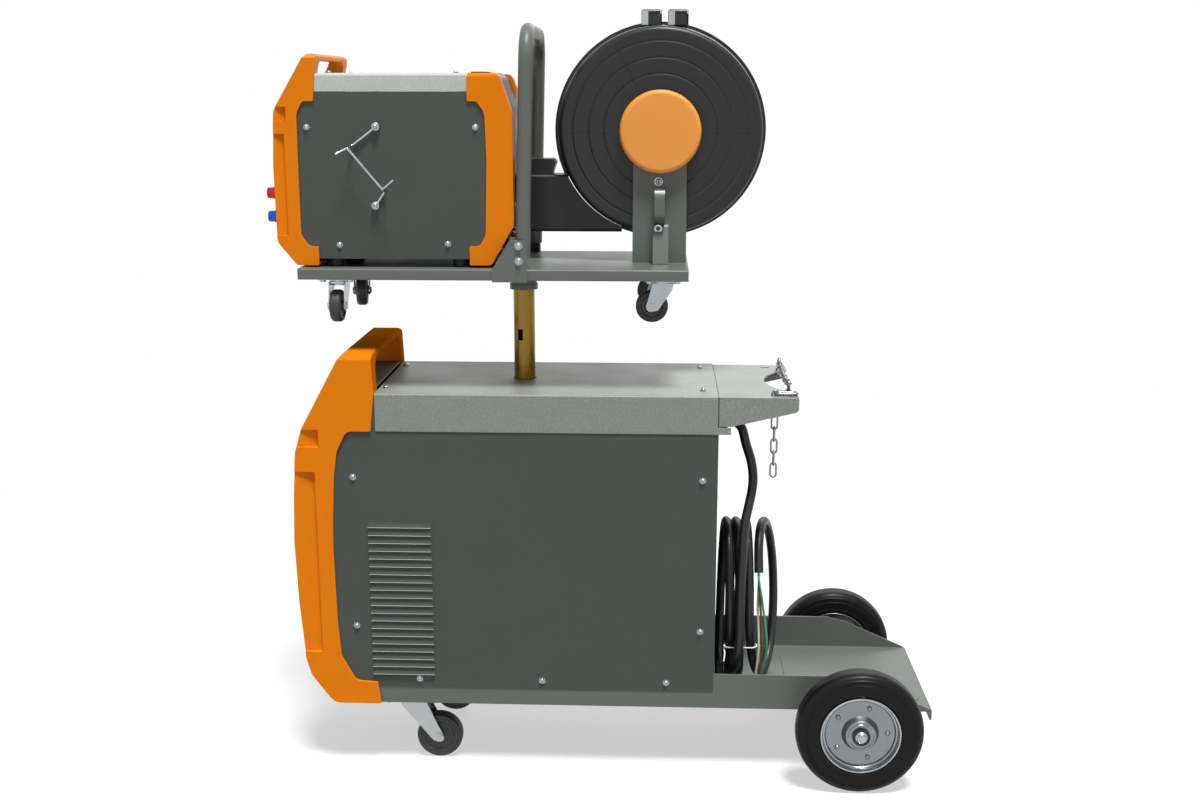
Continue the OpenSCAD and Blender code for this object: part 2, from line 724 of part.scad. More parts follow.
// Top plate of a swivel caster, its race and kingpin, below the face z at x and y
module caster_plate(x, y, z, len, wid, race_r) {
  along_z(z - 2.5, z) difference() {
    translate([x, y]) polygon(rounded(box_pts(-len / 2, len / 2, -wid / 2, wid / 2), 5));
    for (i = [-1, 1], j = [-1, 1]) translate([x + i * (len / 2 - 8), y + j * (wid / 2 - 8)])
      circle(r = 3, $fn = 24);
  }
  rod_z(x, y, race_r, z - 6, z - 2.4);
  rod_z(x, y, 4, z - 13, z - 5, 24);
}
// Bolts that hold the plate, seen as heads below it
module caster_bolts(x, y, z, len, wid) {
  for (i = [-1, 1], j = [-1, 1]) translate([x + i * (len / 2 - 8), y + j * (wid / 2 - 8), z - 2.5]) {
    translate([0, 0, -3.5]) cylinder(r = 5, h = 3.5, $fn = 6);
    cylinder(r = 2.9, h = 5, $fn = 24);
  }
}
// Fork of a swivel caster: its axis is the line along Z through the origin, its wheel lies at +X
module caster_fork(drop, trail, w, race_r, axle_r, wheel_rad) {
  leg = 2.2;
  half = w / 2 + 2 + leg;
  top = -6 - gap;
  difference() {
    union() {
      along_z(top - 3, top) polygon(rounded([
        [-race_r - 1, -half], [race_r + 1, -half], [race_r + 1, half], [-race_r - 1, half]
      ], 5));
      rod_z(0, 0, race_r - 2, top - 6, top - 2.5);
      both_sides() along_y(-half, -half + leg) polygon(rounded([
        [-race_r - 1, top - 0.5], [-race_r + 1, top - 10], [trail - 9, -drop - 6],
        [trail + 6, -drop - 8], [trail + 9, -drop], [race_r + 1, top - 0.5]
      ], [0, 3, 5, 7, 7, 0], 4));
      rod_y(trail, -drop, axle_r, -half - 2.5, half + 2.5, 32);
    }
    rod_z(0, 0, 4 + run_fit, top - 8, 0, 24);
  }
  both_sides() rod_y(trail, -drop, axle_r * 2, -half - 2, -half + 0.2, 6);
}
module caster_wheel(x, y, z, r, w, axle_r) {
  h = w / 2;
  turned_y(x, y, z) polygon([
    [axle_r + run_fit, -h - 1.5], [axle_r + 4, -h - 1.5], [axle_r + 5, -h + 1], [r * 0.62, -h + 2.5],
    [r * 0.68, -h], [r - 3, -h + 0.6], [r - 0.6, -h + 3.5], [r, -h + 6], [r, h - 6],
    [r - 0.6, h - 3.5], [r - 3, h - 0.6], [r * 0.68, h], [r * 0.62, h - 2.5], [axle_r + 5, h - 1],
    [axle_r + 4, h + 1.5], [axle_r + run_fit, h + 1.5]
  ]);
}
caster_axle = 4;
race = 19;
plate_len = 88;
plate_wid = 66;
caster_drop = tray_z - caster_r;
module caster_plates() {
  color("#c4c7c9") for (s = [-1, 1]) {
    caster_plate(caster_x, s * caster_y, tray_z, plate_len, plate_wid, race);
    caster_bolts(caster_x, s * caster_y, tray_z, plate_len, plate_wid);
  }
}
module caster_fork_at(y) {
  color("#c4c7c9") translate([caster_x, y, tray_z])
    caster_fork(caster_drop, caster_trail, caster_w, race, caster_axle, caster_r);
}
module caster_fork_right() { caster_fork_at(-caster_y); }
module caster_fork_left() { caster_fork_at(caster_y); }
module caster_wheel_at(y) {
  color("#262626")
    caster_wheel(caster_x + caster_trail, y, caster_r, caster_r, caster_w, caster_axle);
}
module caster_wheel_right() { caster_wheel_at(-caster_y); }
module caster_wheel_left() { caster_wheel_at(caster_y); }

module body_screws() {
  xs = rear_panel_x - 22;
  color("#b9bcbf") {
    both_sides() {
      for (p = [
        [front_x - 38, 490], [xs, 490], [front_x - 41, 243], [xs, 241],
        [front_x + 58, strip_top + 14], [front_x + 256, strip_top + 14], [front_x + 455, strip_top + 14]
      ]) screw_right(p[0], p[1], -half_w);
      for (x = [front_x + 11, rear_panel_x - 22]) translate([x, -half_w + 40, cover_z]) pan_screw();
    }
  }
}

// ---- Trolley ----

module trolley_deck() {
  small_plate_parts();
  flange = 76;
  sleeve_r = column_d / 2 + 4;
  color("#6a706b") difference() {
    union() {
      along_x(deck_x0, deck_x1) polygon(rounded([
        [-deck_half, deck_low], [-deck_half + flange, deck_low], [-deck_half + flange, deck_low + 2],
        [-deck_half + deck_t, deck_low + 2], [-deck_half + deck_t, deck_under],
        [deck_half - deck_t, deck_under], [deck_half - deck_t, deck_low + 2],
        [deck_half - flange, deck_low + 2], [deck_half - flange, deck_low], [deck_half, deck_low],
        [deck_half, deck_z], [-deck_half, deck_z]
      ], [1.5, 0, 0, 0, 0, 0, 0, 0, 0, 1.5, 2.5, 2.5], 3));
      for (x = [deck_x0, deck_x1 - deck_t])
        block(x, x + deck_t, -deck_half + 1, deck_half - 1, deck_low, deck_z - 0.5);
      // Cross beams above the swivel sleeve
      for (x = [column_x - 32, column_x + 26])
        block(x, x + 6, -deck_half + 1, deck_half - 1, deck_low + 0.5, deck_under + 0.5);
      rod_z(column_x, 0, sleeve_r, deck_z - sleeve_h - deck_t, deck_under + 0.5);
      rod_z(column_x, 0, sleeve_r + 1.5, deck_z - sleeve_h - deck_t, deck_z - sleeve_h + 5);
      block(column_x - 30, column_x + 30, -3, 3, deck_under - 12, deck_under + 0.5);
    }
    rod_z(column_x, 0, column_d / 2 + run_fit, deck_z - sleeve_h - deck_t - 1, deck_under, 72);
    for (x = sc_x, y = [-1, 1], i = [-1, 1], j = [-1, 1])
      rod_z(x + i * 21, y * small_caster_y + j * 19, 3, deck_low - 1, deck_low + 3, 24);
  }
}

loop_x = column_x + 9.5;
bracket_top = deck_z + 44;
module loop_handle() {
  r = loop_d / 2;
  bend = 42;
  half = loop_w / 2;
  foot = deck_z + 16;
  top = deck_z + loop_h - r;
  leg = top - bend - foot;
  translate([loop_x, 0, foot]) rotate([0, loop_lean, 0]) color("#6a706b") {
    both_sides() {
      translate([0, -half, 0]) cylinder(r = r, h = leg, $fn = 48);
      translate([0, -half + bend, leg]) rotate([90, 0, -90])
        rotate_extrude(angle = 90, $fn = 96) translate([bend, 0]) circle(r = r, $fn = 48);
    }
    translate([0, 0, leg + bend]) rotate([90, 0, 0])
      cylinder(r = r, h = 2 * (half - bend), center = true, $fn = 48);
  }
  // Gusset brackets welded to the legs
  color("#6a706b") both_sides() {
    along_y(-deck_half - 3, -deck_half) polygon(rounded([
      [column_x - 36, deck_low - 2], [column_x + 17, deck_low - 2], [column_x + 17, bracket_top],
      [column_x - 9, bracket_top], [column_x - 35, deck_z + 1]
    ], [0, 0, 4, 4, 3]));
    along_y(-deck_half - 0.5, -loop_w / 2 + 2)
      polygon(box_pts(column_x - 9, column_x - 6, deck_z + 0.05, bracket_top - 4));
    along_y(-deck_half - 0.5, -loop_w / 2 + 2)
      polygon(box_pts(column_x + 14, column_x + 17, deck_z + 0.05, bracket_top - 4));
  }
  color("#b9bcbf") both_sides() for (z = [deck_z + 13, bracket_top - 8])
    screw_right(column_x + 5, z, -deck_half - 3, 4.5);
}

module small_fork_at(i, j) {
  color("#c4c7c9") translate([sc_x[i], (2 * j - 1) * small_caster_y, deck_low])
    rotate([0, 0, sc_angle(i, j)]) caster_fork(
      small_caster_h - sc_r, small_caster_trail, small_caster_w, 15, 3, sc_r
    );
}
// Trail direction of each trolley caster about Z: front pair turned across, rear pair trailing forwards
function sc_angle(i, j) = i == 0 ? 270 + 8 * j : 180;
function sc_hub(i, j) = [
  sc_x[i] + small_caster_trail * cos(sc_angle(i, j)),
  (2 * j - 1) * small_caster_y + small_caster_trail * sin(sc_angle(i, j)), sc_z
];
module small_wheel_at(i, j) {
  c = sc_hub(i, j);
  color("#262626") translate([c[0], c[1], 0]) rotate([0, 0, sc_angle(i, j)])
    caster_wheel(0, 0, sc_z, sc_r, small_caster_w, 3);
}
module small_fork_front_right() { small_fork_at(0, 0); }
module small_fork_front_left() { small_fork_at(0, 1); }
module small_fork_rear_right() { small_fork_at(1, 0); }
module small_fork_rear_left() { small_fork_at(1, 1); }
module small_wheel_front_right() { small_wheel_at(0, 0); }
module small_wheel_front_left() { small_wheel_at(0, 1); }
module small_wheel_rear_right() { small_wheel_at(1, 0); }
module small_wheel_rear_left() { small_wheel_at(1, 1); }
module small_plate_parts() {
  color("#c4c7c9") for (x = sc_x, y = [-1, 1]) {
    caster_plate(x, y * small_caster_y, deck_low, 58, 54, 15);
    caster_bolts(x, y * small_caster_y, deck_low, 58, 54);
  }
}

// ---- Spool ----

shaft_r = 10;
hub_out = 25;
module spool_post() {
  foot_z = deck_z + 3;
  color("#6a706b") {
    difference() {
      along_y(post_y - 3, post_y) polygon(rounded([
        [spool_x - post_w / 2 - 1, deck_z], [spool_x + post_w / 2 + 1, deck_z],
        [spool_x + post_w / 2, spool_z + 26], [spool_x + 22, spool_z + 48],
        [spool_x - 22, spool_z + 48], [spool_x - post_w / 2, spool_z + 26]
      ], [0, 0, 6, 10, 10, 6]));
      rod_y(spool_x - 2, deck_z + 24, 2.5, post_y - 5, post_y + 2, 24);
    }
    // Foot on the deck, towards the cover
    block(spool_x - post_w / 2 - 1, spool_x + post_w / 2 + 1, post_y - 0.5, spool_y - cover_y - 1 + 30,
      deck_z, foot_z);
    // Stiffening rib in front
    along_x(spool_x - 10, spool_x + 14) polygon([
      [post_y - 2.5, deck_z], [post_y - 30, deck_z], [post_y - 30, deck_z + 3],
      [post_y - 7, deck_z + 56], [post_y - 2.5, deck_z + 60]
    ]);
    // Spool shaft, fixed in the post
    rod_y(spool_x, spool_z, shaft_r, post_y - 8, spool_y + cover_y - 14);
    rod_y(spool_x, spool_z, 24, post_y - 8, post_y - 2.5);
    rod_y(spool_x, spool_z, 19, post_y - 0.5, spool_y - cover_y - seat);
  }
  // Strap handle: a bent strip
  color("#8f9591") along_x(spool_x - 8, spool_x + 8) difference() {
    polygon(rounded([
      [post_y - 2.5, spool_z - 142], [post_y - 24, spool_z - 136], [post_y - 24, spool_z - 90],
      [post_y - 2.5, spool_z - 84]
    ], [0, 16, 16, 0]));
    polygon(rounded([
      [post_y - 2.4, spool_z - 139], [post_y - 21.5, spool_z - 134], [post_y - 21.5, spool_z - 92],
      [post_y - 2.4, spool_z - 87]
    ], [0, 14, 14, 0]));
  }
  color("#b9bcbf") {
    screw_right(spool_x - 2, spool_z - 76, post_y - 3, 5);
    difference() {
      rod_y(spool_x - 2, spool_z - 148, 6, post_y - 9.5, post_y - 2.8, 32);
      rod_y(spool_x - 2, spool_z - 148, 2.6, post_y - 10, post_y - 5, 24);
    }
  }
}

module wire_spool() {
  spool_hub_parts();
  r = spool_d / 2;
  h = spool_w / 2;
  bore = hub_out + run_fit;
  // Plastic flanges and barrel
  color("#3a3d3c") turned_y(spool_x, spool_y, spool_z) polygon([
    [bore, -h], [r, -h], [r, -h + 4], [52, -h + 4], [52, h - 4], [r, h - 4], [r, h], [bore, h]
  ]);
  color("#b8743a") turned_y(spool_x, spool_y, spool_z)
    polygon([[52.1, -h + 4.1], [128, -h + 4.1], [128, h - 4.1], [52.1, h - 4.1]]);
}
module spool_hub_parts() {
  color("#1f2020") turned_y(spool_x, spool_y, spool_z) polygon([
    [shaft_r + run_fit, -spool_w / 2 - 4], [hub_out, -spool_w / 2 - 4], [hub_out, spool_w / 2 + 2],
    [hub_out - 6, spool_w / 2 + 3.5], [shaft_r + run_fit, spool_w / 2 + 3.5]
  ]);
}

// Half of the spool cover: a dished shell with rings pressed in its face, open at y = 0
module cover_shell(hole, corner = 9, draft = 3) {
  r = cover_r;
  t = cover_t;
  f = cover_y;
  rings = [r - 74, r - 50, r - 25];
  turned_y(0, 0, 0) polygon(concat(
    [[hole, -f], for (g = rings) each [[g - 2, -f], [g - 1, -f + 1.2], [g + 1, -f + 1.2], [g + 2, -f]]],
    arc([r - draft - corner, -f + corner], corner, 270, 360, 5),
    [[r, -8], [rim_r, -8], [rim_r, -seat / 2], [r - t, -seat / 2],
     [r - t - draft, -f + corner + t], [r - t - draft - corner / 2, -f + t], [hole, -f + t]]
  ));
}
module duct_hole(x0, x1, y_pad = 0) {
  block(x0, x1, -duct_w / 2 - y_pad, duct_w / 2 + y_pad, -cover_r + 3, -cover_r + 3 + duct_h);
}
module spool_cover_right() {
  color("#232425") translate([spool_x, spool_y, spool_z]) difference() {
    cover_shell(shaft_r + 2);
    duct_hole(-cover_r - 20, -60);
  }
  color("#c9cccf") difference() {
    latch_bases();
    rod_y(spool_x, spool_z, cover_r - 1, latch_y - 10, latch_y + 12, 96);
  }
}
module spool_cover_left() {
  color("#232425") translate([spool_x, spool_y, spool_z]) mirror([0, 1, 0]) difference() {
    cover_shell(26, 5, 0);
    duct_hole(-cover_r - 20, -60);
  }
  color("#232425") turned_y(spool_x, spool_y, spool_z)
    polygon([
      [0, cover_y - cover_t], [26.5, cover_y - cover_t], [26.5, cover_y + 2], [20, cover_y + 4],
      [0, cover_y + 4]
    ]);
  // Catches for the latches
  color("#c9cccf") difference() {
    for (x = latch_x)
      block(x - 10, x + 10, spool_y + gap, spool_y + 12, rim_top - 12, latch_z - 5 - gap);
    rod_y(spool_x, spool_z, cover_r - 1, spool_y, spool_y + 13, 96);
  }
}
module hub_cap() {
  r = hub_cap_r;
  y1 = post_y - 3 - seat;
  color("#f08a1c") turned_y(spool_x, 0, spool_z) polygon([
    [0, y1 - 20], [r - 6, y1 - 20], [r - 2, y1 - 18.5], [r, y1 - 15], [r, y1], [r - 3, y1],
    [r - 3, y1 - 14], [r - 6, y1 - 17], [20, y1 - 17], [20, y1 - 6.5], [0, y1 - 6.5]
  ]);
}
// Two draw latches over the parting line at the top of the cover
latch_x = [spool_x - 15, spool_x + 26];
rim_top = spool_z + rim_r;
latch_y = spool_y - 17;
latch_z = rim_top + 13;
// Plates that carry the latch levers, on the right half of the cover
module latch_bases() {
  for (x = latch_x) {
    for (s = [-16, 13.5]) along_x(x + s, x + s + 2.5) polygon(rounded([
      [latch_y - 5, rim_top - 14], [latch_y + 8.6, rim_top - 14], [latch_y + 8.6, rim_top + 2],
      [latch_y + 5, latch_z + 4], [latch_y - 5, latch_z + 4]
    ], [0, 0, 0, 4, 4], 3));
    block(x - 16, x + 16, latch_y - 5, latch_y - 3.4, rim_top - 14, latch_z - 6);
    rod_x(latch_y, latch_z, 2, x - 14, x + 14, 24);
  }
}
module spool_latches() {
  color("#c9cccf") for (x = latch_x) difference() {
    union() {
      rod_x(latch_y, latch_z, 4.6, x - 13.2, x + 13.2, 32);
      along_x(x - 13.2, x + 13.2) polygon(rounded([
        [latch_y, latch_z + 1.6], [latch_y, latch_z + 4.6], [latch_y + 34, latch_z + 7],
        [latch_y + 36, latch_z + 4], [latch_y + 31, latch_z + 2], [latch_y + 28, latch_z - 5],
        [latch_y + 25, latch_z - 5], [latch_y + 24, latch_z + 1.6]
      ], [0, 0, 2, 1, 2, 1, 1, 2], 3));
    }
    rod_x(latch_y, latch_z, 2 + run_fit, x - 15, x + 15, 24);
  }
}
module wire_duct() {
  x0 = feeder_rear + seat;
  x1 = spool_x - 60;
  z0 = spool_z - cover_r + 3;
  y0 = spool_y - duct_w / 2 + seat;
  y1 = spool_y + duct_w / 2 - seat;
  color("#1f2021") difference() {
    union() {
      along_x(x0, x1) difference() {
        polygon(rounded(box_pts(y0, y1, z0 + seat, z0 + duct_h - seat), 5, 3));
        polygon(rounded(box_pts(y0 + 3, y1 - 3, z0 + 3, z0 + duct_h - 3), 3, 3));
      }
      // Raised clamp on top, towards the handle
      along_y(y0 + 8, y1 - 8) polygon(rounded([
        [x0 + 18, z0 + duct_h - 1], [x0 + 58, z0 + duct_h - 1], [x0 + 64, z0 + duct_h + 18],
        [x0 + 60, z0 + duct_h + 24], [x0 + 18, z0 + duct_h + 24]
      ], [0, 0, 4, 3, 3], 3));
    }
    // The cover's curve
    rod_y(spool_x, spool_z, cover_r + seat, y0 - 5, spool_y - 8 - gap, 96);
    rod_y(spool_x, spool_z, rim_r + gap, spool_y - 8 - gap - 0.1, y1 + 5, 96);
  }
}

// ---- Feeder ----

base_z = deck_z + 13;
panel_z0 = base_z + 14;
panel_z1 = feeder_z1 - 27;
module feeder_body() {
  color("#565a55") {
    // Base tray on four feet
    along_x(feeder_x0 - 38, feeder_x1 + 40) polygon([
      [-fw, base_z], [fw, base_z], [fw, panel_z0 - seat], [fw - 2, panel_z0 - seat],
      [fw - 2, base_z + 2], [-fw + 2, base_z + 2], [-fw + 2, panel_z0 - seat], [-fw, panel_z0 - seat]
    ]);
    // Right side panel
    along_y(-fw, -fw + sheet_t) polygon(box_pts(feeder_x0 - 38, feeder_x1 + 34, panel_z0, panel_z1));
    // Partition behind the drive unit
    difference() {
      along_y(-6, -4) polygon(box_pts(feeder_x0 - 34, feeder_x1 + 28, base_z + 2, panel_z1 - 40));
      rod_y(roll_x, duct_mid - roll_r, motor_neck_r + gap, -7, -3);
    }
    // Frame of the door opening
    along_y(fw - sheet_t, fw)
      for (x = [[feeder_x0 - 38, feeder_x0 + 4 - gap], [feeder_x1 - 4 + gap, feeder_x1 + 34]])
        polygon(box_pts(x[0], x[1], panel_z0, panel_z1));
  }
  color("#222222") for (x = [feeder_x0 + 18, feeder_x1 - 18], s = [-1, 1])
    rod_z(x, s * 70, 14, deck_z, base_z, 32);
  color("#b9bcbf") for (p = [
    [feeder_x0 - 11, 206], [feeder_x1 + 11, 206], [feeder_x0 + 32, 30], [feeder_x1 - 34, 32]
  ]) screw_right(p[0], feeder_z0 + p[1], -fw, 3.4);
}

door_y = fw + 4 + gap;
door_z = panel_z1 + 4;
door_pin_r = 2;
module feeder_top_cover() {
  color("#9aa09a") {
    along_x(feeder_x0 - 2, feeder_x1 + 2) difference() {
      polygon(rounded([
        [-fw, panel_z1 + seat], [fw, panel_z1 + seat], [fw, feeder_z1], [-fw, feeder_z1]
      ], [0, 0, 5, 5], 3));
      polygon(rounded([
        [-fw + sheet_t, panel_z1 - 1], [fw - sheet_t, panel_z1 - 1],
        [fw - sheet_t, feeder_z1 - sheet_t], [-fw + sheet_t, feeder_z1 - sheet_t]
      ], [0, 0, 3.5, 3.5], 3));
    }
    // Hinge knuckles and the pin
    for (x = [feeder_x0 + 30, feeder_x1 - 60]) {
      difference() {
        union() {
          rod_x(door_y, door_z, 4, x, x + 14, 32);
          block(x, x + 14, fw - 0.5, door_y, door_z, door_z + 6);
        }
        rod_x(door_y, door_z, door_pin_r - 0.05, x - 1, x + 15, 32);
      }
      rod_x(door_y, door_z, door_pin_r, x - 1, x + 31, 32);
    }
  }
  color("#b9bcbf") for (x = [feeder_x0 + 20, feeder_x1 - 20], s = [-1, 1])
    translate([x, s * (fw - 25), feeder_z1]) pan_screw(3);
}
module feeder_door() {
  x0 = feeder_x0 + 4;
  x1 = feeder_x1 - 4;
  color("#565a55") {
    difference() {
      union() {
        along_y(fw - sheet_t, fw) polygon(rounded(box_pts(x0, x1, panel_z0 + gap, panel_z1 - gap), 3));
        for (x = [feeder_x0 + 44 + gap, feeder_x1 - 46 + gap]) {
          rod_x(door_y, door_z, 4, x, x + 14, 32);
          along_x(x, x + 14) polygon([
            [fw - 0.5, panel_z1 - 12], [fw + 1.5, panel_z1 - 12], [door_y + 3, door_z - 2],
            [door_y - 2.6, door_z - 3], [fw - 0.5, panel_z1 - 2]
          ]);
        }
      }
      for (x = [feeder_x0 + 44, feeder_x1 - 46])
        rod_x(door_y, door_z, door_pin_r + run_fit, x - 1, x + 16, 32);
    }
  }
  // Quarter-turn catches at the lower edge
  color("#1f2021") for (x = [x0 + 30, x1 - 30]) {
    rod_y(x, panel_z0 + 22, 11, fw, fw + 5);
    along_y(fw + 5, fw + 11) polygon(box_pts(x - 10, x + 10, panel_z0 + 20, panel_z0 + 24));
  }
}

// Outlines of the feeder's bezels, from the bezel joint and from the feeder's underside
front_cheek = [
  [0, -1], [-34, -1], [-63, 34], [-64, 149], [-60, 230], [-12, 309], [-8, 313], [8, 313],
  [4, 283], [2, 257], [1, 244], [-16, 244], [-25, 226], [-26, 130], [-26, 44], [-14, 28], [0, 28]
];
front_cheek_r = [2, 6, 20, 60, 24, 8, 4, 6, 2, 2, 2, 6, 20, 60, 16, 10, 2];
rear_cheek = [
  [0, 285], [46, 285], [66, 228], [67, 61], [32, 0], [-1, 0], [-1, 29], [14, 29], [24, 46],
  [27, 158], [25, 227], [14, 244], [-1, 244]
];
rear_cheek_r = [2, 10, 24, 24, 8, 2, 2, 8, 20, 40, 24, 8, 2];
function lifted(pts, x) = [for (p = pts) [p[0] + x, p[1] + feeder_z0]];
bezel_fw = fw + 3;
feeder_arch_z = feeder_z1 + feeder_arch;

module feeder_room() {
  block(feeder_x0 - 38 - seat, feeder_x1 + 40 + seat, -fw - seat, fw + gap, base_z - 5, panel_z1 + seat);
  block(feeder_x0 - 2 - seat, feeder_x1 + 2 + seat, -fw - seat, fw + seat, panel_z1, feeder_z1 + seat);
  // Room for the hinge and the open door
  block(feeder_x0 - 2, feeder_x1 + 2, fw - 1, fw + 20, panel_z0, feeder_z1 + 10);
}
module feeder_front_bezel() {
  inner = bezel_fw - feeder_band;
  color("#f28a14") difference() {
    intersection() {
      along_y(-bezel_fw, bezel_fw) polygon(rounded(lifted(front_cheek, feeder_x0), front_cheek_r, 3));
      along_x(feeder_x0 - 70, feeder_x0 + 12) difference() {
        polygon([
          [-bezel_fw, feeder_z0 - 2], [bezel_fw, feeder_z0 - 2], [bezel_fw, feeder_arch_z - 6],
          [bezel_fw - 16, feeder_arch_z + 1], [-bezel_fw + 16, feeder_arch_z + 1],
          [-bezel_fw, feeder_arch_z - 6]
        ]);
        polygon(rounded([
          [-inner, feeder_z0 + 26], [inner, feeder_z0 + 26],
          [inner, feeder_arch_z - 9], [-inner, feeder_arch_z - 9]
        ], [0, 0, 14, 14], 4));
      }
    }
    feeder_room();
    for (h = [[44, 196, 45], [214, 236, 41]]) both_sides() along_z(feeder_z0 + h[0], feeder_z0 + h[1])
      polygon([
        [feeder_x0 - h[2] - 25, -bezel_fw - 1], [feeder_x0 - h[2], -bezel_fw - 1],
        [feeder_x0 - h[2] - 2, -bezel_fw + 6], [feeder_x0 - h[2] - 22, -bezel_fw]
      ]);
  }
}
module feeder_rear_bezel() {
  inner = bezel_fw - feeder_band;
  color("#f28a14") difference() {
    intersection() {
      along_y(-bezel_fw, bezel_fw) polygon(rounded(lifted(rear_cheek, feeder_x1), rear_cheek_r, 3));
      along_x(feeder_x1 - 12, feeder_x1 + 70) difference() {
        polygon(rounded(box_pts(-bezel_fw, bezel_fw, feeder_z0 - 2, feeder_z1 + 1), [0, 0, 8, 8], 3));
        polygon(box_pts(-inner, inner, feeder_z0 + 24, feeder_z1 + 5));
      }
    }
    feeder_room();
    // The left cheek is set back
    block(feeder_rear - 4, feeder_rear + 30, fw - 26, bezel_fw + 1, feeder_z0 - 3, feeder_z1 + 3);
  }
}
module feeder_rear_cover() {
  inner = bezel_fw - feeder_band - seat;
  color("#1f2124") difference() {
    along_y(-inner, inner) difference() {
      polygon(rounded([
        [feeder_x1 + 34, feeder_z0 + 24.5], [feeder_rear, feeder_z0 + 24.5], [feeder_rear, feeder_z0 + 232],
        [feeder_x1 + 40, feeder_z1 + 2], [feeder_x1 + 3, feeder_z1 + 2], [feeder_x1 + 3, feeder_z1 - 1],
        [feeder_x1 + 34, feeder_z1 - 3]
      ], [0, 4, 40, 20, 0, 0, 10], 5));
      polygon(rounded([
        [feeder_x1 + 30, feeder_z0 + 28], [feeder_rear - 3, feeder_z0 + 28],
        [feeder_rear - 3, feeder_z0 + 231], [feeder_x1 + 38, feeder_z1 - 2],
        [feeder_x1 + 30, feeder_z1 - 6]
      ], [0, 3, 37, 17, 0], 5));
    }
    rod_x(spool_y, duct_mid, 16, feeder_x1 + 20, feeder_rear + 5);
  }
  // Gas and control cable entries
  color("#8d9092") for (p = [[-50, 46], [-72, 84]]) difference() {
    rod_x(p[0], feeder_z0 + p[1], 9, feeder_rear - 3.2, feeder_rear + 9);
    rod_x(p[0], feeder_z0 + p[1], 5, feeder_rear + 1, feeder_rear + 10);
  }
}
duct_mid = spool_z - cover_r + 3 + duct_h / 2;
face_x = feeder_x0 - 46;
module feeder_front_panel() {
  half = bezel_fw - feeder_band - seat;
  z0 = feeder_z0 + 26.5;
  color("#2b2d2c") difference() {
    along_y(-half, half) polygon([
      [face_x + 2, z0], [face_x, z0], [face_x, feeder_z0 + 222], [feeder_x0 - 4, feeder_z1 - 1],
      [feeder_x0 - 2.2, feeder_z1 - 3], [face_x + 2, feeder_z0 + 221]
    ]);
    rod_x(spool_y, duct_mid, 19, face_x - 5, face_x + 5);
    for (z = coupler_z) rod_x(coupler_y, z, 7.5, face_x - 5, face_x + 5);
    rod_x(0, knob_z, 3 + run_fit, face_x - 5, face_x + 5);
  }
  // Display window
  color("#101418") along_x(face_x - 2.5, face_x) polygon(rounded(
    box_pts(-60, 60, feeder_z0 + 176, feeder_z0 + 214), 4
  ));
  // Central torch socket with its bore
  color("#b08d3a") difference() {
    union() {
      rod_x(spool_y, duct_mid, 18.9, face_x - 16, face_x + 30);
      rod_x(spool_y, duct_mid, 24, face_x - 6, face_x - 0.05);
    }
    rod_x(spool_y, duct_mid, 6, face_x - 17, face_x + 12);
    rod_x(spool_y, duct_mid, 2, face_x, face_x + 31, 24);
  }
}
knob_z = feeder_z0 + 140;
module feeder_knob() {
  color("#e98a1e") difference() {
    union() {
      rod_x(0, knob_z, 17, face_x - 22, face_x - gap);
      for (a = [0 : 30 : 330]) translate([0, 0, knob_z]) rotate([a, 0, 0])
        rod_x(0, 16.2, 1.8, face_x - 20, face_x - 2, 16);
      rod_x(0, knob_z, 3, face_x - 1, face_x + 10);
    }
    block(face_x - 23, face_x - 20.5, -1, 1, knob_z + 2, knob_z + 15);
  }
}
coupler_y = -60;
coupler_z = [duct_mid - 16, duct_mid + 20];
module couplers() {
  for (i = [0, 1]) {
    z = coupler_z[i];
    color(i == 0 ? "#2a49a8" : "#c0282a") difference() {
      union() {
        rod_x(coupler_y, z, 8.5, face_x - 41, face_x - 12);
        rod_x(coupler_y, z, 9.5, face_x - 32, face_x - 20);
      }
      rod_x(coupler_y, z, 4.5, face_x - 42, face_x - 14);
    }
    color("#b9bcbf") {
      rod_x(coupler_y, z, 7.4, face_x - 11.9, face_x + 16);
      rod_x(coupler_y, z, 11, face_x - 5, face_x - 0.05, 6);
    }
  }
}

// Two bent wire hooks and the straight wire between them
module torch_hangers() {
  y = -fw - 4;
  zc = feeder_z0 + 148;
  x = feeder_x0 + 88;
  wire = 2;
  color("#c2c5c7") {
    tube([
      [x + 6, y, zc + 59], [x - 27, y, zc + 34], [x - 32, y - 4, zc + 30], [x - 33, y - 20, zc + 28],
      [x - 37, y - 25, zc + 26], [x - 48, y - 34, zc + 20]
    ], wire, 8, [0, 0, 1]);
    tube([[x - 33, y - 21.5, zc + 28], [x + 18, y - 21.5, zc - 33]], wire, 8);
    tube([
      [x + 2, y, zc - 58], [x + 15, y, zc - 39], [x + 18, y - 4, zc - 35], [x + 18, y - 20, zc - 33],
      [x + 22, y - 25, zc - 29], [x + 36, y - 34, zc - 18]
    ], wire, 8, [0, 0, 1]);
    for (p = [[x + 6, zc + 59], [x + 2, zc - 58]]) {
      rod_y(p[0], p[1], 6, y - 3.5, -fw, 32);
      screw_right(p[0], p[1], y - 3.5, 3.6);
    }
  }
}

